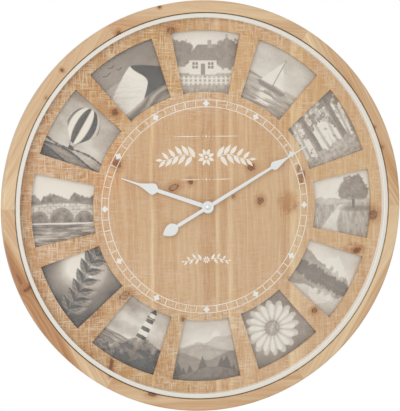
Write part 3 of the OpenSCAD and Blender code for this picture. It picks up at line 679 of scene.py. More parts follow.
PLY_TONES = ((-302, 0.5), (-210, 0.62), (-120, 0.48), (-20, 0.6), (70, 0.52), (160, 0.64), (302, 0.5))
PLY_KNOTS = ((-212.0, 186.0, 4.0, 5.0, 0.0, 0.8, 0.4), (120.0, -258.0, 3.0, 4.0, 0.0, 0.7, 0.3))
PLY_SEED, PLY_SPACING, PLY_THICK = 211.0, 14.0, 1.6
BLOCK_TONES = ((265, 0.4), (275, 0.5), (285, 0.4), (294, 0.55), (302, 0.46))
BLOCK_KNOTS = ((287.0, 62.0, 3.0, 4.0, 0.0, 0.8, 0.5),)
BLOCK_SEED, BLOCK_SPACING = 401.0, 8.0


class CLOCK_OT_back_ring(Operator):
    """Plywood on the ring behind the rim, with its plies on the turned edges, and fir on the hanger block"""
    bl_idname = "clock.back_ring"
    bl_label = "Back ring"

    def execute(self, context):
        wood = context.scene.clock_wood
        g = Board("plywood", wood, PLY_TONES, PLY_KNOTS, PLY_SEED, PLY_SPACING)
        ply = g.smooth(g.math("PINGPONG", g.deep + PLY_THICK / 2, PLY_THICK), 0.65, 0.95)
        inner = g.smooth(g.deep, -0.9, -1.1) * g.smooth(g.deep, -21.9, -21.0)
        shade = g.mix(ply * inner * 0.6, g.shade, wood.heart)
        g.surface(shade, g.grain["Fibre"] * 0.2 + 0.6, g.height, strength=0.5, depth=0.3)
        dress(g, "back_ring")
        g = Board("fir_block", wood, BLOCK_TONES, BLOCK_KNOTS, BLOCK_SEED, BLOCK_SPACING, math.radians(90.0))
        g.surface(g.shade, g.grain["Fibre"] * 0.2 + 0.55, g.height, strength=0.5, depth=0.3)
        dress(g, "hanger_block")
        return {"FINISHED"}


# White paint


def painted(name, paint, wood, wear, rough, thin=0.0, wall_highlight=None, within=0.0):
    """White paint over wood: slow drifts of tone, a brushed fibre, small worn spots that show the wood, and
    wider places where the paint is thin by the given share. Within a radius in millimetres it may take a
    paler colour, a painted highlight that keeps a shaded wall as white as the lit front."""
    g = Look(name)
    point = g.here()
    drift = g.noise(point, 30.0, 3.0, 0.6)
    fibre = g.noise(point, (1.2, 1.2, 16.0), 3.0, 0.6)
    shade = g.mix(drift * 0.5 - 0.12, paint, toned(paint, 0.86))
    spots = g.noise(point, (1.6, 1.6, 4.0), 4.0, 0.7)
    shade = g.mix(g.smooth(spots, 0.74 - wear, 0.84 - wear), shade, wood.tan)
    if thin:
        faded = g.smooth(g.noise(point, (14.0, 14.0, 22.0), 3.0, 0.6), 0.4, 0.68, 0.0, thin)
        shade = g.mix(faded, shade, wood.pale)
    # Painted highlight: within the radius the paint takes a paler colour in place of the wall's shade.
    if wall_highlight:
        x, _, z = g.split(point)
        shade = g.mix(g.smooth(g.reach(x, z), within + 0.7, within + 0.3), shade, wall_highlight)
    g.surface(shade, drift * 0.2 + (rough - 0.1), fibre, strength=0.15, depth=0.12)
    return g


def film(dial, layer=0):
    """Front and back depth of the paint; strokes that meet lie in different layers, an eighth of it apart."""
    return DIAL_Y - dial.film - layer * dial.film / 8, DIAL_Y + 2 * dial.film


class CLOCK_OT_accent_ring(Operator):
    """Satin white lacquer on the ring inside the rim"""
    bl_idname = "clock.accent_ring"
    bl_label = "Accent ring"

    def execute(self, context):
        dial, wood = context.scene.clock_dial, context.scene.clock_wood
        inner = (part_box("accent_ring")[1].x - dial.ring_wide) / MM
        # The ring's inner wall, inside the inner radius, is painted paler as a painted highlight against its
        # shade.
        look = painted("white_ring", dial.lacquer, wood, wear=-0.04, rough=0.42, wall_highlight=dial.wall_highlight,
                       within=inner)
        dress(look, "accent_ring")
        return {"FINISHED"}


class CLOCK_OT_track(Operator):
    """Minute track painted on the dial: two lines, four strokes between hours and a diamond at each hour"""
    bl_idname = "clock.track"
    bl_label = "Minute track"
    DIAMOND_LAYER = 8

    def execute(self, context):
        dial, wood = context.scene.clock_dial, context.scene.clock_wood
        w = dial.line / 2
        parts = [ring_band(r - w, r + w, *film(dial)) for r in (dial.track_in, dial.track_out)]
        minutes = np.arange(5 * HOURS)
        strokes = np.radians(minutes[minutes % 5 != 0] * HOUR_ANGLE / 5)
        inner, outer = dial.track_in + w / 2, dial.track_out - w / 2
        box = np.array([[-w, inner], [w, inner], [w, outer], [-w, outer]])
        parts.append(prisms(self.turned(box, strokes), *film(dial)))
        look = painted("dial_paint", dial.paint, wood, wear=0.08, rough=0.5, thin=0.5)
        add_piece("minute_track", join(parts), look, FIXED)
        stars = self.turned(self.star(dial), np.radians(np.arange(HOURS) * HOUR_ANGLE))
        look = painted("diamond_paint", dial.diamond_paint, wood, wear=0.02, rough=0.5, thin=0.15)
        diamonds = prisms(stars, *film(dial, self.DIAMOND_LAYER))
        add_piece("hour_diamonds", diamonds, look, FIXED)
        return {"FINISHED"}

    @staticmethod
    def star(dial, power=0.9):
        """A diamond at twelve with slightly hollow sides: |x|^0.9 + |z|^0.9 is the same all round it."""
        way = circle(32)
        reach = dial.diamond / (np.abs(way) ** power).sum(1) ** (1 / power)
        return way * reach[:, None] + (0.0, (dial.track_in + dial.track_out) / 2)

    @staticmethod
    def turned(outline, angles):
        """Copies of an outline, turned clockwise by angles: x' = x cos + z sin and z' = z cos - x sin."""
        c, s = np.cos(angles)[:, None], np.sin(angles)[:, None]
        x, z = outline[None, :, 0], outline[None, :, 1]
        return np.stack([x * c + z * s, z * c - x * s], -1)


class CLOCK_OT_sprig(Operator):
    """A leafy sprig painted above the hands, with strokes above and below it, and a small one near six"""
    bl_idname = "clock.sprig"
    bl_label = "Painted sprig"
    PETALS = 8

    def execute(self, context):
        dial, wood = context.scene.clock_dial, context.scene.clock_wood
        parts = self.garland(dial, height=74.0, reach=78.0, pairs=5, long=19.0, wide=7.0, flower=13.5)
        parts += self.garland(dial, height=-79.0, reach=39.0, pairs=3, long=9.5, wide=3.8, flower=6.0)
        parts += self.stroke(dial, height=105.0, reach=50.0) + self.stroke(dial, height=41.0, reach=40.0)
        look = painted("sprig_paint", dial.paint, wood, wear=0.08, rough=0.5, thin=0.2)
        add_piece("dial_sprig", join(parts), look, FIXED)
        return {"FINISHED"}

    @staticmethod
    def leaves(root, way, long, wide):
        """Leaf outlines: from the root on, in its own direction, a leaf's width follows sin(pi s^0.75)."""
        s = np.linspace(0.0, 1.0, 15)
        half = np.sin(np.pi * s ** 0.75) * 0.5
        u = np.concatenate([s, s[-2:0:-1]])
        v = np.concatenate([-half, half[-2:0:-1]])
        c, d = np.cos(way)[:, None], np.sin(way)[:, None]
        x = u[None] * long[:, None]
        z = v[None] * wide[:, None]
        return np.stack([root[:, :1] + x * c - z * d, root[:, 1:] + x * d + z * c], -1)

    def garland(self, dial, height, reach, pairs, long, wide, flower):
        """An open flower with a waved stem to each side, which has leaves in turn above and below it."""
        parts = []
        s = np.linspace(0.0, 1.0, 60)
        first = flower * 1.25
        run = reach - first - long * 0.55

        def stem(t, lift=0.0):
            """Points of the right stem: a sine wave along its run, lifted by a length."""
            return np.stack([first + run * t, height + 0.05 * reach * np.sin(1.6 * np.pi * t) + lift], 1) * MM

        for side in (-1.0, 1.0):
            mirror = np.array([side, 1.0])
            path = stem(s) * mirror
            parts.append(ribbon(path if side > 0 else path[::-1], 0.5 * MM, *film(dial)))
            for up, late, layer in ((-1.0, 0.55, 1), (1.0, 0.05, 2)):
                t = (np.arange(pairs) + late) / pairs
                size = (1.0 - 0.3 * t) * MM
                lean = up * np.radians(56.0 - 12.0 * t)
                way = lean if side > 0 else np.pi - lean
                leaves = self.leaves(stem(t, up * 0.8) * mirror, way, long * size, wide * size)
                parts.append(prisms(leaves, *film(dial, layer)))
            way = np.array([0.0 if side > 0 else np.pi])
            tip = np.array([MM])
            leaf = self.leaves(stem(np.array([1.0])) * mirror, way, long * 0.55 * tip, wide * 0.6 * tip)
            parts.append(prisms(leaf, *film(dial, 3)))
        a = (np.arange(self.PETALS) + 0.5) * 2 * np.pi / self.PETALS
        root = np.stack([0.26 * flower * np.cos(a), height + 0.26 * flower * np.sin(a)], 1) * MM
        ones = np.full(self.PETALS, flower * MM)
        parts.append(prisms(self.leaves(root, a, ones * 0.74, ones * 0.38), *film(dial, 1)))
        parts.append(prisms((circle(24) * flower * 0.17 + (0.0, height))[None] * MM, *film(dial, 2)))
        return parts

    @staticmethod
    def stroke(dial, height, reach, gap=9.0):
        """A level line that thins towards both ends, broken in the middle by three dots."""
        parts = []
        s = np.linspace(0.0, 1.0, 24)
        half = (0.15 + 0.45 * np.sin(np.pi * s)) * MM
        for side in (-1.0, 1.0):
            path = np.stack([side * (gap + (reach - gap) * s), np.full(24, height)], 1) * MM
            parts.append(ribbon(path if side > 0 else path[::-1], half, *film(dial)))
        spots = np.array([[-5.0, height], [0.0, height], [5.0, height]])
        radii = np.array([0.9, 1.4, 0.9])[:, None, None]
        parts.append(prisms((circle(16)[None] * radii + spots[:, None]) * MM, *film(dial)))
        return parts


# Prints


LATTICE = 64


def field(x, y, seed, octaves=4):
    """Smooth random field: eased random lattices, each twice as fine and half as strong as the last."""
    total, size, weight = np.zeros_like(x), 1.0, 0.5
    for octave in range(octaves):
        lattice = np.random.default_rng(seed + octave).random((LATTICE, LATTICE))
        u, v = x * size + 17.3 * octave + 31.0, y * size + 9.1 * octave + 31.0
        i, j = np.floor(u).astype(int), np.floor(v).astype(int)
        p, q = u - i, v - j
        p, q = p * p * (3 - 2 * p), q * q * (3 - 2 * q)
        k, m = (i + 1) % LATTICE, (j + 1) % LATTICE
        i, j = i % LATTICE, j % LATTICE
        near = lattice[i, j] * (1 - p) + lattice[k, j] * p
        far = lattice[i, m] * (1 - p) + lattice[k, m] * p
        total += weight * (near * (1 - q) + far * q)
        size, weight = size * 2, weight / 2
    return total / (1 - 0.5 ** octaves)


def inside(distance, soft=0.03):
    """1 where a distance is below zero, 0 above, with a soft step."""
    return np.clip(0.5 - distance / soft, 0.0, 1.0)


def over(tone, mask, value):
    """Paints a value over a picture through a mask."""
    return tone * (1 - mask) + value * mask


def put(tone, distance, value, soft=0.03):
    """Paints a value over a picture where a distance is below zero."""
    return over(tone, inside(distance, soft), value)


def block(x, y, middle_x, middle_y, half_x, half_y):
    """Distance to an upright rectangle, below zero inside it."""
    return np.maximum(np.abs(x - middle_x) - half_x, np.abs(y - middle_y) - half_y)


def cloudy(x, y, seed, low, high):
    """A sky: pale, with soft clouds drawn out sideways."""
    return low + (high - low) * np.clip(0.25 + 0.9 * field(x * 1.6, y * 3.2, seed) - 0.25 * y, 0, 1)


def crown(tone, x, y, middle_x, middle_y, r, seed, lit):
    """A leafy crown: a disc whose edge and shade follow a fine random field, lighter at the left."""
    n = field(x * 9, y * 9, seed)
    edge = np.hypot(x - middle_x, (y - middle_y) * 1.1) - r * (0.65 + 0.7 * n)
    return put(tone, edge, 0.12 + 0.42 * n + 0.2 * np.clip(middle_x - x, -0.3, lit), 0.06)


def ripples(x, y, seed):
    """Water: a random field drawn out sideways."""
    return field(x * 2.6, y * 24.0, seed)


def developed(tone, x, y, contrast, lift):
    """Finish of a print: its own contrast and lift, darker corners and fine grain."""
    grain = field(x * 34.0, y * 34.0, 5, 2) - 0.5
    return np.clip(0.53 + lift + (tone - 0.5) * contrast - 0.07 * (x * x + y * y) + 0.09 * grain, 0.0, 1.0)


def ridges(x, y, seed):
    """Rows of hills, each a slow wave, paler with distance, below a low sun; firs stand on the nearest."""
    tone = cloudy(x, y, seed, 0.78, 1.0)
    tone = put(tone, np.hypot(x - 0.32, y - 0.46) - 0.13, 1.0, 0.08)
    for k, (base, value) in enumerate(((0.2, 0.74), (-0.02, 0.6), (-0.26, 0.42))):
        line = base + 0.13 * np.sin((2.1 + 0.6 * k) * x + 2.3 * k) + 0.16 * field(x * 3, y * 0 + k, seed + 5)
        mist = 0.25 * np.clip(1 - (line - y) / 0.3, 0, 1)
        tone = put(tone, y - line, value - mist * 0.2 + 0.16 * field(x * 7, y * 11, seed + k) - 0.05)
    ground = -0.62 + 0.12 * np.sin(2.6 * x + 1.0)
    for k, at in enumerate((-0.86, -0.7, -0.5, -0.1, 0.5, 0.66, 0.88)):
        tall = 0.3 + 0.12 * math.sin(5.0 * at + k)
        up = (y - ground) / tall
        half = 0.13 * tall / 0.3 * np.clip(1 - up, 0, 1) * (0.7 + 0.6 * field(x * 16, y * 16, seed + k))
        tone = put(tone, np.maximum.reduce([np.abs(x - at) - half, -up, up - 1]), 0.16)
    return put(tone, y - ground, 0.14 + 0.3 * field(x * 9, y * 9, seed + 8))


def still_lake(x, y, seed):
    """A snowy peak and dark firs over a lake, mirrored about the shore with a slight ripple."""
    below = y < -0.12
    px = x + np.where(below, 0.05 * (ripples(x, y, seed) - 0.5), 0.0)
    h = np.abs(y + 0.12)
    tone = cloudy(px, h, seed, 0.72, 0.96)
    n = field(px * 5, h * 5, seed + 3)
    peak = 0.74 - 0.95 * np.abs(px - 0.16) + 0.24 * n
    rock = 0.34 + 0.5 * field(px * 7 + h * 4, h * 7, seed + 9)
    rock = put(rock, 0.2 + 0.42 * field(px * 8, h * 3, seed + 2) - h, 0.97, 0.08)
    tone = put(tone, h - peak, rock)
    side = 0.32 - 0.3 * px + 0.2 * field(px * 4, 0 * h, seed + 6)
    tone = put(tone, h - side * 0.8, 0.42 + 0.2 * n)
    pines = 0.06 + 0.2 * field(px * 14, 0 * h, seed + 4) + 0.1 * field(px * 40, 0 * h, seed + 7)
    tone = put(tone, h - pines, 0.14 + 0.1 * n)
    return np.where(below, tone * 0.82 + 0.12 * ripples(x, y, seed + 1), tone)


def sailing(x, y, seed):
    """A small boat with two sails on a rippled sea, its sails mirrored in broken streaks."""
    tone = cloudy(x, y, seed, 0.5, 0.88)
    water = ripples(x, y, seed)
    streak = inside(np.abs(x) - 0.28 + 0.3 * (water - 0.5), 0.2)
    streak = streak * inside(y + 0.34, 0.1) * inside(-y - 0.85, 0.2)
    tone = put(tone, y + 0.1, over(0.34 + 0.7 * (water - 0.3), streak * (water > 0.47), 0.95))
    mast = 0.03
    main = np.maximum.reduce([x - mast, -0.16 - y, y - 0.68 - (x - mast) * 2.0])
    jib = np.maximum.reduce([mast + 0.03 - x, -0.14 - y, y - 0.5 + (x - mast) * 1.5])
    folds = 0.1 * np.abs(np.sin(9 * y + 3 * x))
    tone = put(tone, np.minimum(main, jib), 0.98 - folds - 0.3 * np.clip(x, 0, 1), 0.02)
    hull = np.maximum(np.abs(x - 0.02) - 0.42 - (y + 0.3) * 0.6, np.abs(y + 0.25) - 0.07)
    tone = put(tone, hull, 0.12 + 0.2 * inside(-0.21 - y, 0.02), 0.02)
    return put(tone, block(x, y, mast, 0.24, 0.012, 0.48), 0.15, 0.012)


def birches(x, y, seed):
    """Trunks in mist: each row nearer is darker, wider and better lit at one side, over ferns."""
    tone = 0.94 + 0.18 * (field(x * 2, y * 2, seed) - 0.5)
    rows = (((-0.9, -0.62, -0.27, 0.12, 0.44, 0.83), 0.03, 0.72), ((-0.78, -0.12, 0.3, 0.68), 0.05, 0.48),
            ((-0.45, 0.55, 0.98), 0.1, 0.16))
    for k, (places, half, value) in enumerate(rows):
        for m, at in enumerate(places):
            side = x - at - 0.05 * np.sin(1.5 * y + 2.0 * m + k)
            bark = field(x * 12, y * 5, seed + m) - 0.5
            lit = value + 0.3 * np.clip(-side / half, 0, 1) + 0.3 * bark
            tone = put(tone, np.abs(side) - half * (1.1 - 0.15 * y), lit, 0.02)
        leaf = field(x * 8, y * 8, seed + 20 + k) - 0.1 * (0.6 - y)
        tone = put(tone, 0.62 - leaf - 0.12 * np.clip(y, 0, 1), value + 0.08, 0.06)
    fern = -0.6 + 0.36 * field(x * 9, y * 4, seed + 4)
    return put(tone, y - fern, 0.2 + 0.5 * field(x * 14, y * 14, seed + 5), 0.06)


def daisy(x, y, seed):
    """One open flower: two rows of petals around a grained middle, over blurred leaves."""
    tone = 0.14 + 0.4 * field(x * 2.5, y * 2.5, seed)
    r, a = np.hypot(x + 0.05, y - 0.04), np.arctan2(y - 0.04, x + 0.05)
    for k, (size, value) in enumerate(((0.86, 0.8), (0.74, 0.98))):
        wave = np.abs(np.cos(8 * a + 0.8 * k + 0.3 * np.sin(3 * a)))
        reach = size * (0.62 + 0.38 * wave ** 0.5)
        shade = value - 0.3 * (1 - wave) - 0.08 * np.abs(np.sin(40 * a)) - 0.25 * inside(r - 0.3, 0.2)
        tone = put(tone, r - reach, shade)
    return put(tone, r - 0.24, 0.2 + 0.6 * field(x * 22, y * 22, seed) * (1.2 - 2.4 * r))


def lighthouse(x, y, seed):
    """A banded tower on a rocky point, with the sea running out to the left."""
    tone = cloudy(x, y, seed, 0.42, 0.78)
    water = ripples(x, y, seed)
    tone = put(tone, y + 0.22, 0.42 + 0.5 * (water - 0.4))
    rock = -0.62 + 0.62 * np.clip((x + 0.5) / 0.6, 0, 1) ** 0.7 + 0.3 * (field(x * 5, 0 * y, seed) - 0.5)
    stone = 0.1 + 0.6 * field(x * 8, y * 8, seed + 1) * np.clip(1 - 0.7 * (rock - y), 0.3, 1)
    tone = put(tone, y - rock, stone)
    tone = over(tone, inside(np.abs(y - rock + 0.05 * water) - 0.008, 0.05) * (x < 0.1), 0.7)
    half = 0.15 - 0.08 * (y - 0.1)
    stripe = np.where(((y + 0.04) * 3.8) % 1 < 0.45, 0.3, 1.0) - 0.35 * np.clip((x - 0.22) / 0.15, 0, 1)
    tone = put(tone, block(x, y, 0.2, 0.3, half, 0.34), stripe, 0.02)
    tone = put(tone, block(x, y, 0.2, 0.64, 0.13, 0.02), 0.15, 0.02)
    tone = put(tone, block(x, y, 0.2, 0.72, 0.07, 0.07), 0.8, 0.02)
    return put(tone, np.maximum(np.abs(x - 0.2) - (0.94 - y) * 0.7, 0.78 - y), 0.15, 0.02)


def balloon(x, y, seed):
    """A striped balloon with a basket above hedged fields."""
    tone = cloudy(x, y, seed, 0.46, 0.8)
    for k, (base, value) in enumerate(((-0.46, 0.66), (-0.62, 0.48), (-0.82, 0.3))):
        line = base + 0.07 * np.sin(3 * x + 2 * k)
        tone = put(tone, y - line, value + 0.3 * (field(x * 6, y * 16, seed + k) - 0.5))
        hedge = np.abs(y - line + 0.02) - 0.05 * field(x * 14, 0 * y, seed + 7 + k)
        tone = put(tone, hedge, value * 0.4, 0.02)
    u, v = (x + 0.08) / 0.5, (y - 0.24) / 0.56
    bag = np.hypot(u / np.where(v < 0, np.clip(1 + 0.5 * v, 0.3, 1), 1), v) - 1
    gore = np.sin(np.arcsin(np.clip(u / np.sqrt(np.clip(1 - v * v * 0.9, 0.05, 1)), -1, 1)) * 7)
    tone = put(tone, bag, 0.56 + 0.36 * np.clip(gore * 3, -1, 1) - 0.24 * u, 0.04)
    tone = put(tone, block(x, y, -0.08, -0.46, 0.075, 0.06), 0.15, 0.02)
    ropes = np.abs(np.abs(x + 0.08) - 0.07 - (y + 0.4) * 0.3) - 0.008
    return put(tone, np.maximum(ropes, np.abs(y + 0.32) - 0.09), 0.3, 0.012)


def field_path(x, y, seed):
    """A path through a meadow towards one broad tree."""
    tone = cloudy(x, y, seed, 0.82, 1.0)
    fine = field(x * 9, y * 9, seed)
    tone = put(tone, y - 0.1 - 0.14 * field(x * 6, 0 * y, seed + 3), 0.56 + 0.2 * fine)
    tone = put(tone, y - 0.02 - 0.04 * np.sin(4 * x), 0.46 + 0.44 * (field(x * 18, y * 6, seed) - 0.3))
    way = np.abs(x + 0.12 - 0.3 * np.sin(2.2 * y + 0.4)) - 0.06 - 0.3 * np.clip(-y, 0, 1) ** 1.4
    tone = put(tone, np.maximum(way, y + 0.02), 0.92 - 0.2 * fine, 0.05)
    tone = over(tone, 0.7 * inside(np.hypot((x - 0.52) / 0.5, (y + 0.15) / 0.08) - 1, 0.9), 0.22)
    tone = put(tone, block(x, y, 0.38, 0.06, 0.045, 0.2), 0.14, 0.02)
    for k, (middle_x, middle_y, r) in enumerate(((0.38, 0.5, 0.42), (0.1, 0.36, 0.24), (0.64, 0.36, 0.26))):
        tone = crown(tone, x, y, middle_x, middle_y, r, seed + k, 0.5)
    return tone


def stone_bridge(x, y, seed):
    """Three arches of coursed stone over a stream that mirrors them."""
    water = ripples(x, y, seed)
    h = np.where(y < -0.4, -0.8 - y + 0.06 * (water - 0.5), y)
    tone = cloudy(x, h, seed, 0.8, 1.0)
    trees = 0.36 + 0.36 * (field(x * 5, 0 * h, seed) - 0.4)
    tone = put(tone, h - trees, 0.24 + 0.4 * field(x * 9, h * 9, seed), 0.06)
    deck = 0.22 - 0.1 * x ** 2
    joint = 0.14 * (((h * 11) % 1) < 0.14) + 0.14 * (((x * 6 + np.floor(h * 11) * 0.5) % 1) < 0.1)
    stone = 0.74 - joint + 0.3 * (field(x * 12, h * 12, seed) - 0.5)
    arches = np.minimum.reduce(
        [np.hypot(x - at, (h + 0.4) * 0.8) - r for at, r in ((-0.66, 0.25), (0.0, 0.33), (0.66, 0.25))])
    tone = put(tone, np.maximum(h - deck, -arches), stone, 0.02)
    tone = over(tone, inside(np.abs(arches - 0.025) - 0.022, 0.015) * inside(h - deck), 0.5)
    tone = put(tone, np.abs(h - deck) - 0.025, 0.5, 0.015)
    tone = np.where(y < -0.4, 0.3 * tone + 0.75 * water - 0.02, tone)
    return put(tone, np.abs(y + 0.4) - 0.02, 0.9, 0.02)


def leaf_branch(x, y, seed):
    """A dark branch with paired leaves and its soft shadow, against a plain pale ground."""
    light = np.exp(-1.5 * ((x - 0.3) ** 2 + (y - 0.4) ** 2))
    tone = 0.16 + 0.86 * light + 0.24 * (field(x * 2, y * 2, seed) - 0.5)
    for lift, soft, depth in ((0.07, 0.16, 0.75), (0.0, 0.025, 0.0)):
        u0, v0 = x - lift, y + lift
        stem = np.abs(v0 - 0.5 * u0 - 0.1 * np.sin(3 * u0)) - 0.016
        tone = put(tone, stem, 0.2 + depth * 0.3, soft)
        for k in range(7):
            at = -0.75 + 0.25 * k
            base = 0.5 * at + 0.1 * math.sin(3 * at)
            for up in (-1.0, 1.0):
                turn = math.radians(27 + up * 50)
                u = (u0 - at) * math.cos(turn) + (v0 - base) * math.sin(turn)
                v = -(u0 - at) * math.sin(turn) + (v0 - base) * math.cos(turn)
                leaf = np.abs(v) - 0.11 * np.sin(np.pi * np.clip(u / 0.48, 0, 1) ** 0.8)
                veins = 0.05 * np.sin(40 * (u - np.abs(v))) + 0.2 * inside(np.abs(v) - 0.008, 0.01)
                value = 0.08 + 0.24 * (v * up > 0) + veins + depth * 0.3
                tone = put(tone, np.where((u > 0) & (u < 0.48), leaf, 1.0), value, soft)
    return tone


def dunes(x, y, seed):
    """A dune whose winding crest parts a lit flank from a shaded one, a far dune, and birds in the sky."""
    tone = cloudy(x, y, seed, 0.3, 0.58)
    far = 0.08 + 0.1 * np.sin(2.4 * x + 2.6)
    tone = put(tone, y - far, 0.6 + 0.14 * (field(x * 4, y * 14, seed) - 0.5))
    drop = 0.42 - y
    top = 0.42 - 0.62 * np.abs(x - 0.12) ** 1.25
    crest = 0.12 + 0.3 * np.sin(3.4 * drop) * np.clip(drop * 1.5, 0, 1)
    lit = 0.93 - 0.12 * np.clip(crest - x, 0, 1) + 0.16 * (field(x * 4, (y + 0.35 * x) * 22, seed + 1) - 0.5)
    slope = field(x * 5, (y - 0.5 * x) * 12, seed + 2) - 0.5
    shaded = 0.12 + 0.12 * np.clip(x - crest, 0, 1) + 0.12 * slope
    tone = put(tone, y - top, put(lit, crest - x, shaded))
    near = -0.66 + 0.1 * np.sin(2.2 * x + 0.4)
    bend = 3 * np.sin(2.3 * x) + 5 * field(x * 2, y * 4, seed + 3)
    wave = np.sin(44 * (near - y) / (1.4 + near - y) + bend)
    tone = put(tone, y - near, 0.5 + 0.16 * wave)
    for at, high, half in ((-0.62, 0.5, 0.13), (-0.38, 0.64, 0.1), (-0.2, 0.48, 0.08)):
        wing = np.abs(y - high - 0.6 * np.abs(x - at) + 2.4 * (x - at) ** 2) - 0.014
        tone = put(tone, np.maximum(wing, np.abs(x - at) - half), 0.16, 0.02)
    return tone


def cottage(x, y, seed):
    """A small house with a steep roof, two windows and a fence before trees."""
    tone = cloudy(x, y, seed, 0.82, 1.0)
    for k, (middle_x, r) in enumerate(((-0.78, 0.44), (0.74, 0.5), (0.34, 0.3))):
        tone = crown(tone, x, y, middle_x, 0.22, r, seed + k, 0.4)
    tone = put(tone, y + 0.36, 0.5 + 0.4 * (field(x * 16, y * 8, seed) - 0.3))
    wall = 0.97 - 0.1 * (((y * 16) % 1) < 0.2) - 0.2 * inside(-y, 0.08)
    tone = put(tone, block(x, y, -0.06, -0.18, 0.42, 0.22), wall, 0.02)
    roof = np.maximum(np.abs(x + 0.06) - 0.56 + (y - 0.02) * 0.85, np.maximum(0.02 - y, y - 0.48))
    tone = put(tone, roof, 0.2 + 0.2 * field(x * 14, y * 30, seed), 0.02)
    tone = put(tone, block(x, y, 0.14, 0.5, 0.06, 0.12), 0.5, 0.015)
    for at in (-0.3, 0.18):
        bars = np.minimum(np.abs(x - at), np.abs(y + 0.13)) - 0.012
        tone = put(tone, block(x, y, at, -0.13, 0.085, 0.095), put(0.2, bars, 0.95, 0.012), 0.015)
    tone = put(tone, block(x, y, -0.06, -0.24, 0.065, 0.16), 0.3, 0.015)
    posts = block((x * 7) % 1, y, 0.5, -0.58, 0.2, 0.13)
    rails = np.minimum(np.abs(y + 0.52), np.abs(y + 0.64)) - 0.02
    return put(tone, np.minimum(posts, rails), 0.99)


# The view of each hour from one on, and the contrast and lift of its finish
PICTURES = (
    (sailing, 0.85, 0.14), (birches, 1.0, 0.18), (field_path, 1.08, 0.08), (still_lake, 1.05, 0.07),
    (daisy, 0.98, 0.1), (ridges, 1.0, -0.02), (lighthouse, 2.0, -0.03), (leaf_branch, 1.5, 0.0),
    (stone_bridge, 1.6, -0.09), (balloon, 1.6, -0.08), (dunes, 1.3, -0.06), (cottage, 0.9, 0.07),
)
PICTURE_UNIT = 50.0 * MM
PICTURE_SEED, SEED_STEP = 11, 100
AGED_PAPER = "F3E4CC"


class CLOCK_OT_prints(Operator):
    """Twelve sepia prints in the beds, each a sector of cells whose points carry the tone of a drawn view"""
    bl_idname = "clock.prints"
    bl_label = "Photo prints"

    def execute(self, context):
        prints = context.scene.clock_prints
        look = self.paper()
        stops = np.array([prints.dark[:], prints.middle[:], prints.light[:]])
        for hour in range(HOURS):
            points, faces, tone = self.sector(prints, hour)
            piece = add_piece("print_%02d" % (hour + 1), (points, faces), look, FIXED)
            shade = np.stack([np.interp(tone, (0.0, 0.5, 1.0), stops[:, c]) for c in range(4)], 1)
            layer = piece.data.color_attributes.new("print_tone", "FLOAT_COLOR", "POINT")
            layer.data.foreach_set("color", shade.astype(np.float32).ravel())
            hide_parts("photo_prints")
        return {"FINISHED"}

    @staticmethod
    def sector(prints, hour):
        """Grid over radius and angle for the front, one face over its border for the back, sides between the
        two. A point's tone is its picture read at the window's own upright coordinates."""
        n = prints.cells + 1
        middle = math.radians(HOUR_ANGLE * (hour + 1))
        r, a = np.meshgrid(np.linspace(prints.radius_in, prints.radius_out, n),
                           np.linspace(prints.half, -prints.half, n), indexing="ij")
        x, z = r * np.sin(a + middle), r * np.cos(a + middle)
        front = np.stack([x, np.full_like(x, PRINT_FRONT + prints.gap), z], -1).reshape(-1, 3)
        at = np.arange(n * n).reshape(n, n)
        border = np.concatenate([at[0, :-1], at[:-1, -1], at[-1, :0:-1], at[:0:-1, 0]])[::-1]
        back = front[border] * (1, 0, 1) + (0, PRINT_BACK, 0)
        low = n * n + np.arange(len(border))
        sides = np.stack([border, low, np.roll(low, -1), np.roll(border, -1)], 1)
        faces = grid_faces(n, n)[:, ::-1].tolist() + sides.tolist() + [low[::-1].tolist()]
        quarter = math.radians(90.0)
        tilt = middle - quarter * round(middle / quarter)
        centre = (prints.radius_in + prints.radius_out) / 2
        dx, dz = x - centre * math.sin(middle), z - centre * math.cos(middle)
        px = (dx * math.cos(tilt) - dz * math.sin(tilt)) / PICTURE_UNIT
        pz = (dx * math.sin(tilt) + dz * math.cos(tilt)) / PICTURE_UNIT
        picture, contrast, lift = PICTURES[hour]
        seed = PICTURE_SEED + SEED_STEP * hour
        tone = developed(picture(px, pz, seed), px, pz, contrast, lift).ravel()
        return np.concatenate([front, back]), faces, np.concatenate([tone, np.ones(len(back))])

    @staticmethod
    def paper():
        """Print paper: the tone held by the points, with a fine tooth and a slow yellowing."""
        g = Look("print_paper")
        point = g.here()
        ink = g.outputs(g.node("Attribute", attribute_name="print_tone"))["Color"]
        tooth = g.noise(point, 0.5)
        shade = g.stain(ink, g.noise(point, 40.0) * 0.16, AGED_PAPER)
        g.surface(shade, tooth * 0.15 + 0.5, tooth, strength=0.08, depth=0.05)
        return g


class CLOCK_OT_panes(Operator):
    """Clear panes and pressed-fibre backings of the photo windows"""
    bl_idname = "clock.panes"
    bl_label = "Panes and backings"

    def execute(self, context):
        wood = context.scene.clock_wood
        g = Look("clear_pane", Base_Color=(0.93, 0.95, 0.94, 1.0), IOR=1.49)
        haze = g.noise(g.here(), 22.0, 3.0, 0.6)
        g.send(g.shader, Alpha=haze * 0.08 + 0.02, Roughness=haze * 0.1 + 0.03)
        dress(g, "photo_panes")
        g = Look("hardboard")
        point = g.here()
        fibre = g.noise(point, 1.4, 5.0, 0.7)
        flake = g.noise(point, (6.0, 6.0, 3.0), 3.0, 0.6)
        shade = g.mix(g.smooth(fibre, 0.35, 0.68), toned(wood.hardboard, 0.55), wood.hardboard)
        shade = g.mix(g.smooth(flake, 0.6, 0.72) * 0.4, shade, wood.brown)
        g.surface(shade, fibre * 0.3 + 0.55, fibre, strength=0.4, depth=0.15)
        dress(g, "photo_backings")
        return {"FINISHED"}


# Hands


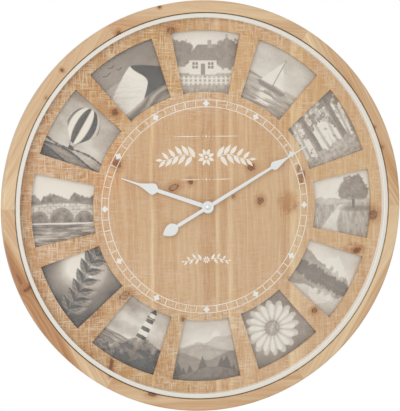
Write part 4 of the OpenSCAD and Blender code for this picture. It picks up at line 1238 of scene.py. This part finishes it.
def swept(stations, half, front, back, turn, power=5.0):
    """A hand: at each station along its length, a section across it, half wide to each side. Across the width
    the front rises from a quarter of the thickness by the fifth root of 1 - |v|^5, so it is flat on top with
    rolled edges. The whole is turned clockwise from twelve about the hands' axis."""
    v = np.sin(np.linspace(-0.5, 0.5, 15) * np.pi)
    rise = (1 - np.abs(v) ** power) ** (1 / power)
    across = np.concatenate([v, [1.0, -1.0]])
    depth = np.concatenate([back + (front - back) * (0.25 + 0.75 * rise), [back, back]])
    m, n = len(stations), len(across)
    u = np.repeat(stations[:, None], n, 1)
    w = half[:, None] * across[None]
    c, s = math.cos(turn), math.sin(turn)
    points = np.stack([u * s + w * c, np.broadcast_to(depth, (m, n)), u * c - w * s], -1).reshape(-1, 3)
    ends = [list(range(n))[::-1], list(range((m - 1) * n, m * n))]
    return points, grid_faces(m, n, round_columns=True).tolist() + ends


def leaf_half(u, start, stop, end, stem, leaf, needle):
    """Half width along a hand: the stem tapers to start, the leaf swells in its first fifth and thins to a
    needle at stop, and the needle runs out at end."""
    s = np.clip((u - start) / (stop - start), 0, 1)
    swell = stem[1] + (leaf - stem[1]) * np.sin(np.pi * np.clip(s, 0, 0.2) * 2.5)
    thin = needle + (leaf - needle) * (1 - np.clip((s - 0.2) / 0.8, 0, 1) ** 1.4) ** 2
    shaft = stem[0] + (stem[1] - stem[0]) * u / start
    tip = needle + (0.5 * needle - needle) * (u - stop) / (end - stop)
    return np.where(u < start, shaft, np.where(u < stop, np.where(s < 0.2, swell, thin), tip))


def tail_half(u, base, end, stem, leaf):
    """Half width along the tail: the stem, then a leaf that follows sin(pi s^0.8) to its point."""
    s = np.clip((u - base) / (end - base), 0, 1)
    swell = np.maximum(leaf * np.sin(np.pi * s ** 0.8) ** 0.8, stem * 0.6 * (s < 0.9))
    return np.where(u < base, stem, np.maximum(swell, 0.05))


class CLOCK_OT_hands(Operator):
    """White leaf hands with rolled edges and round hubs, and their zinc cap nut"""
    bl_idname = "clock.hands"
    bl_label = "Hands"
    HOUR_LEAF, MINUTE_LEAF, TAIL_LEAF = (0.58, 0.835), (0.636, 0.815), 0.67
    HOUR_HUB, MINUTE_HUB = 8.0, 9.0

    def execute(self, context):
        hands = context.scene.clock_hands
        look = self.lacquer(hands)
        end, (start, stop) = hands.hour_long / MM, self.HOUR_LEAF
        u = self.stations(start, shaft=12, past=0.85, late=0.92) * end
        half = leaf_half(u, end * start, end * stop, end, stem=(3.4, 2.7), leaf=8.6, needle=1.5)
        blade = swept(u * MM, half * MM, HOUR_Y - hands.thick, HOUR_Y, hands.hour_at)
        hub = self.hub(self.HOUR_HUB * MM, HOUR_Y - hands.thick, HOUR_Y)
        piece = add_piece("hour_hand_leaf", join([blade, hub]), look, "hour")
        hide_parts("hour_hand")
        end, tail, (start, stop) = hands.minute_long / MM, hands.tail_long / MM, self.MINUTE_LEAF
        base = tail * self.TAIL_LEAF
        v = np.concatenate([np.linspace(tail, base, 60), np.linspace(tail * 0.66, 2.0, 10)])
        u = self.stations(start, shaft=14, past=0.82, late=0.9) * end
        leaf = leaf_half(u, end * start, end * stop, end, stem=(2.9, 2.0), leaf=6.6, needle=1.2)
        half = np.concatenate([tail_half(v, base, tail, stem=2.6, leaf=9.0), leaf])
        along = np.concatenate([-v, u])
        blade = swept(along * MM, half * MM, MINUTE_Y - hands.thick, MINUTE_Y, hands.minute_at)
        hub = self.hub(self.MINUTE_HUB * MM, MINUTE_Y - hands.thick, MINUTE_Y)
        piece = add_piece("minute_hand_leaf", join([blade, hub]), look, "minute")
        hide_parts("minute_hand")
        look = metal("zinc_cap", hands.cap, rough=0.5)
        piece = add_piece("hand_nut_cap", lathe(self.cap()), look, "minute")
        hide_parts("hand_nut")
        return {"FINISHED"}

    @staticmethod
    def stations(start, shaft, past, late):
        """Shares of a hand's length: a few on the shaft, many on the leaf, two on the needle."""
        return np.concatenate([np.linspace(0, start, shaft, endpoint=False), np.linspace(start, past, 90),
                               [late, 1.0]])

    @staticmethod
    def hub(edge, front, back, roll=0.6 * MM, proud=0.25 * MM, low=0.05 * MM, foot=3.0 * MM, lip=2.2 * MM):
        """A turned hub: a low flat face in a rim that stands proud and is rolled off by a quarter circle."""
        t = np.linspace(0, np.pi / 2, 9)
        rim = np.stack([edge - roll + roll * np.sin(t), front - proud + roll * (1 - np.cos(t))], 1)
        face = [[0.0, front - low], [edge - foot, front - low], [edge - lip, front - proud]]
        return lathe(np.concatenate([face, rim, [[edge, back], [0.0, back]]]))

    @staticmethod
    def cap(bore=1.5 * MM, deep=1.2 * MM, skirt=1.0 * MM, chamfer=0.15 * MM):
        """Profile of the cap nut: a quarter ellipse above a straight skirt with a broken lower edge, and a
        blind bore."""
        low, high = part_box("hand_nut")
        wide, front, back = high.x, low.y, high.y
        t = np.linspace(0, np.pi / 2, 17)
        dome = np.stack([wide * np.sin(t), back - skirt - (back - skirt - front) * np.cos(t)], 1)
        under = [[wide, back - chamfer], [wide - chamfer, back], [bore, back], [bore, back - deep],
                 [0.0, back - deep]]
        return np.concatenate([dome, under])

    @staticmethod
    def lacquer(hands):
        """White lacquer with a slight orange peel and a drift of gloss."""
        g = Look("hand_lacquer")
        point = g.here()
        drift = g.noise(point, 25.0)
        shade = g.mix(drift, hands.white, toned(hands.white, 0.93))
        g.surface(shade, drift * 0.2 + 0.3, g.noise(point, 1.5), strength=0.08, depth=0.08)
        return g


# Hardware and movement


def metal(name, tint, rough):
    """Plain metal with scratches along X and cloudy stains."""
    g = Look(name, Metallic=1.0)
    worn = g.use("Handled Metal", Point=g.here())
    shade = g.mix(g.smooth(worn["Stain"], 0.3, 0.75), tint, toned(tint, 0.72))
    satin = worn["Scratch"] * 0.2 + worn["Stain"] * 0.15 + (rough - 0.15)
    g.surface(shade, satin, worn["Scratch"], strength=0.15, depth=0.03)
    return g


def moulded(name, tint, rough, change=0.2):
    """Moulded plastic or rubber with a fine sparked texture."""
    g = Look(name)
    skin = g.use("Moulded", Point=g.here())
    shade = g.mix(g.smooth(skin["Drift"], 0.3, 0.7), tint, toned(tint, 1 - change))
    g.surface(shade, skin["Drift"] * 0.25 + (rough - 0.12), skin["Spark"], strength=0.25, depth=0.04)
    return g


class CLOCK_OT_hardware(Operator):
    """Zinc on the turn buttons, hanger and screws, and yellow zinc on the screws of the back ring"""
    bl_idname = "clock.hardware"
    bl_label = "Turn buttons, hanger and screws"

    def execute(self, context):
        ware = context.scene.clock_hardware
        buttons = ["turn_button_%02d" % (i + 1) for i in range(HOURS)]
        dress(metal("zinc_plate", ware.zinc, rough=0.42), *buttons, "turn_button_screws", "hanger_plate",
              "hanger_screws")
        dress(metal("yellow_zinc", ware.yellow, rough=0.38), "back_ring_screws")
        return {"FINISHED"}


class CLOCK_OT_movement(Operator):
    """Case, wheels, coil, circuit and cell of the movement, with its brass bushing, nut and washer"""
    bl_idname = "clock.movement"
    bl_label = "Movement"

    def execute(self, context):
        ware = context.scene.clock_hardware
        dress(moulded("case_plastic", ware.case, rough=0.5), "movement_case", "movement_cover")
        dress(moulded("gasket_rubber", ware.rubber, rough=0.75), "case_gasket")
        dress(moulded("gear_plastic", ware.gear, rough=0.42, change=0.1), "hour_wheel", "minute_arbor",
              "centre_wheel", "third_wheel", "second_wheel", "intermediate_wheel", "rotor", "reverser_wheel",
              "setting_knob")
        dress(metal("turned_brass", ware.brass, rough=0.34), "mount_bushing", "front_washer", "bushing_nut")
        dress(metal("contact_steel", ware.zinc, rough=0.36), "stator", "contact_positive", "contact_negative")
        dress(self.circuit(ware), "circuit_board")
        dress(self.winding(ware), "coil")
        dress(self.sleeve(ware), "battery")
        return {"FINISHED"}

    @staticmethod
    def circuit(ware):
        """Green mask over straight raised conductors, which shift from row to row."""
        g = Look("circuit_mask")
        point = g.here()
        x, _, z = g.split(point)
        lane = g.math("PINGPONG", x + g.math("SNAP", z, 2.4) * 0.5, 1.1)
        track = g.smooth(lane, 0.42, 0.34)
        skin = g.use("Moulded", Point=point)
        shade = g.mix(track, ware.board, toned(ware.board, 1.7))
        g.surface(shade, skin["Drift"] * 0.2 + 0.3, track, strength=0.3, depth=0.04)
        return g

    @staticmethod
    def winding(ware):
        """Fine turns of enamelled wire: a ripple along the bobbin's axis, with painted shade in the grooves
        between turns.
        """
        g = Look("copper_winding", Metallic=0.7)
        point = g.here()
        x = g.split(point)[0]
        wire = g.smooth(g.math("PINGPONG", x, 0.12), 0.0, 0.1)
        worn = g.use("Handled Metal", Point=point)
        # Painted shade: thin dark copper lines in the grooves between the turns.
        shade = g.mix(wire, toned(ware.copper, 0.35), ware.copper)
        g.surface(shade, worn["Stain"] * 0.2 + 0.28, wire, strength=0.6, depth=0.06)
        return g

    @staticmethod
    def sleeve(ware):
        """A plain cell: dark sleeve, a copper-coloured band at the cap end and bare steel on the ends."""
        g = Look("cell_sleeve")
        low, high = (corner.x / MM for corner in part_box("battery"))
        point = g.here()
        x = g.split(point)[0]
        skin = g.use("Moulded", Point=point)
        band = g.smooth(x, high - 15.0, high - 14.8)
        ends = g.most(g.smooth(x, high - 1.6, high - 1.5), g.smooth(x, low + 0.3, low + 0.2))
        shade = g.mix(g.smooth(skin["Drift"], 0.3, 0.7), ware.sleeve, toned(ware.sleeve, 0.8))
        shade = g.mix(ends, g.mix(band, shade, ware.copper), ware.zinc)
        g.send(g.shader, Base_Color=shade, Metallic=ends * 0.9, Roughness=skin["Drift"] * 0.2 + 0.2)
        return g


# Stage


class CLOCK_OT_stage(Operator):
    """Camera at the front left, even white light with one soft lamp, and a pale round floor well below"""
    bl_idname = "clock.stage"
    bl_label = "Stage"
    SENSOR = 36.0
    LAMP_AT = (-1.65, -2.6, 0.65)
    FLOOR_THICK = 0.01

    def execute(self, context):
        scene, stage = context.scene, context.scene.clock_stage
        self.camera(scene, stage)
        self.light(scene, stage)
        self.floor(stage)
        scene.view_settings.view_transform = "Standard"
        return {"FINISHED"}

    def camera(self, scene, stage):
        """A camera that looks at the middle of the rim's front, with the image's focal length and middle."""
        data = bpy.data.cameras.new("camera")
        eye = bpy.data.objects.new("camera", data)
        scene.collection.objects.link(eye)
        aim = Vector((0.0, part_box("rim_segment_1")[0].y, 0.0))
        back = Vector((-math.sin(stage.yaw) * math.cos(stage.pitch),
                       -math.cos(stage.yaw) * math.cos(stage.pitch), math.sin(stage.pitch)))
        turn = (-back).to_track_quat("-Z", "Y").to_matrix() @ Matrix.Rotation(stage.roll, 3, "Z")
        eye.matrix_world = Matrix.Translation(aim + back * stage.distance) @ turn.to_4x4()
        tall = max(IMAGE_WIDE, IMAGE_HIGH)
        data.sensor_width = data.sensor_height = self.SENSOR
        data.sensor_fit = "AUTO"
        data.lens = self.SENSOR * stage.focal / tall
        data.shift_x = (IMAGE_WIDE / 2 - stage.middle_x) / tall
        data.shift_y = (stage.middle_y - IMAGE_HIGH / 2) / tall
        data.clip_start, data.clip_end = 0.05, 50.0
        scene.camera = eye

    def light(self, scene, stage):
        """An even white world, seen at full strength, and one wide lamp at the upper left."""
        world = bpy.data.worlds.new("studio")
        world.use_nodes = True
        g = Graph(world.node_tree)
        sky = g.tree.nodes["Background"].inputs
        ray = g.outputs(g.node("LightPath"))
        seen = g.most(ray["Is Camera Ray"], ray["Is Glossy Ray"], ray["Is Transmission Ray"])
        g.send(sky, Color=(1.0, 1.0, 1.0, 1.0), Strength=seen * (1.0 - stage.sky) + stage.sky)
        scene.world = world
        lamp = bpy.data.lights.new("key", "AREA")
        lamp.shape, lamp.size, lamp.energy = "DISK", stage.lamp, stage.key
        key = bpy.data.objects.new("key", lamp)
        scene.collection.objects.link(key)
        place = Vector(self.LAMP_AT)
        key.matrix_world = Matrix.Translation(place) @ (-place).to_track_quat("-Z", "Y").to_matrix().to_4x4()

    def floor(self, stage):
        """A flat round slab: a turned profile about Z."""
        r, top, low = stage.floor_r, -stage.floor_z, self.FLOOR_THICK - stage.floor_z
        points, faces = lathe([[0.0, top], [r, top], [r, low], [0.0, low]], steps=128)
        g = Look("pale_floor", Roughness=0.9)
        cloud = g.noise(g.here(), 300.0)
        g.send(g.shader, Base_Color=g.mix(cloud, stage.floor, toned(stage.floor, 0.98)))
        slab = new_object("floor", (points[:, [0, 2, 1]] * (1, 1, -1), faces), g)


# Add-on


STEPS = (CLOCK_OT_stage, CLOCK_OT_rim, CLOCK_OT_dial, CLOCK_OT_back_ring, CLOCK_OT_accent_ring,
         CLOCK_OT_track, CLOCK_OT_sprig, CLOCK_OT_prints, CLOCK_OT_panes, CLOCK_OT_hands,
         CLOCK_OT_hardware, CLOCK_OT_movement)


class CLOCK_PT_sidebar(Panel):
    """Sizes, colours and build steps of the clock"""
    bl_idname = "CLOCK_PT_sidebar"
    bl_label = "Photo wall clock"
    bl_space_type = "VIEW_3D"
    bl_region_type = "UI"
    bl_category = "Clock"

    def draw(self, context):
        for step in STEPS:
            self.layout.operator(step.bl_idname)
        for key, group in GROUPS.items():
            box = self.layout.box()
            box.label(text=group.__name__)
            for name in group.__annotations__:
                box.prop(getattr(context.scene, key), name)


CLASSES = tuple(GROUPS.values()) + STEPS + (CLOCK_PT_sidebar,)


def register():
    for item in CLASSES:
        bpy.utils.register_class(item)
    for key, group in GROUPS.items():
        setattr(bpy.types.Scene, key, PointerProperty(type=group))


def unregister():
    for key in GROUPS:
        delattr(bpy.types.Scene, key)
    for item in reversed(CLASSES):
        bpy.utils.unregister_class(item)


def main():
    """Registers the add-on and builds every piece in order."""
    register()
    for make in (make_knot_group, make_grain_group, make_brush_group, make_mould_group):
        make()
    for step in STEPS:
        area, name = step.bl_idname.split(".")
        getattr(getattr(bpy.ops, area), name)()
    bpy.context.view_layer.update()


if __name__ == "__main__":
    main()
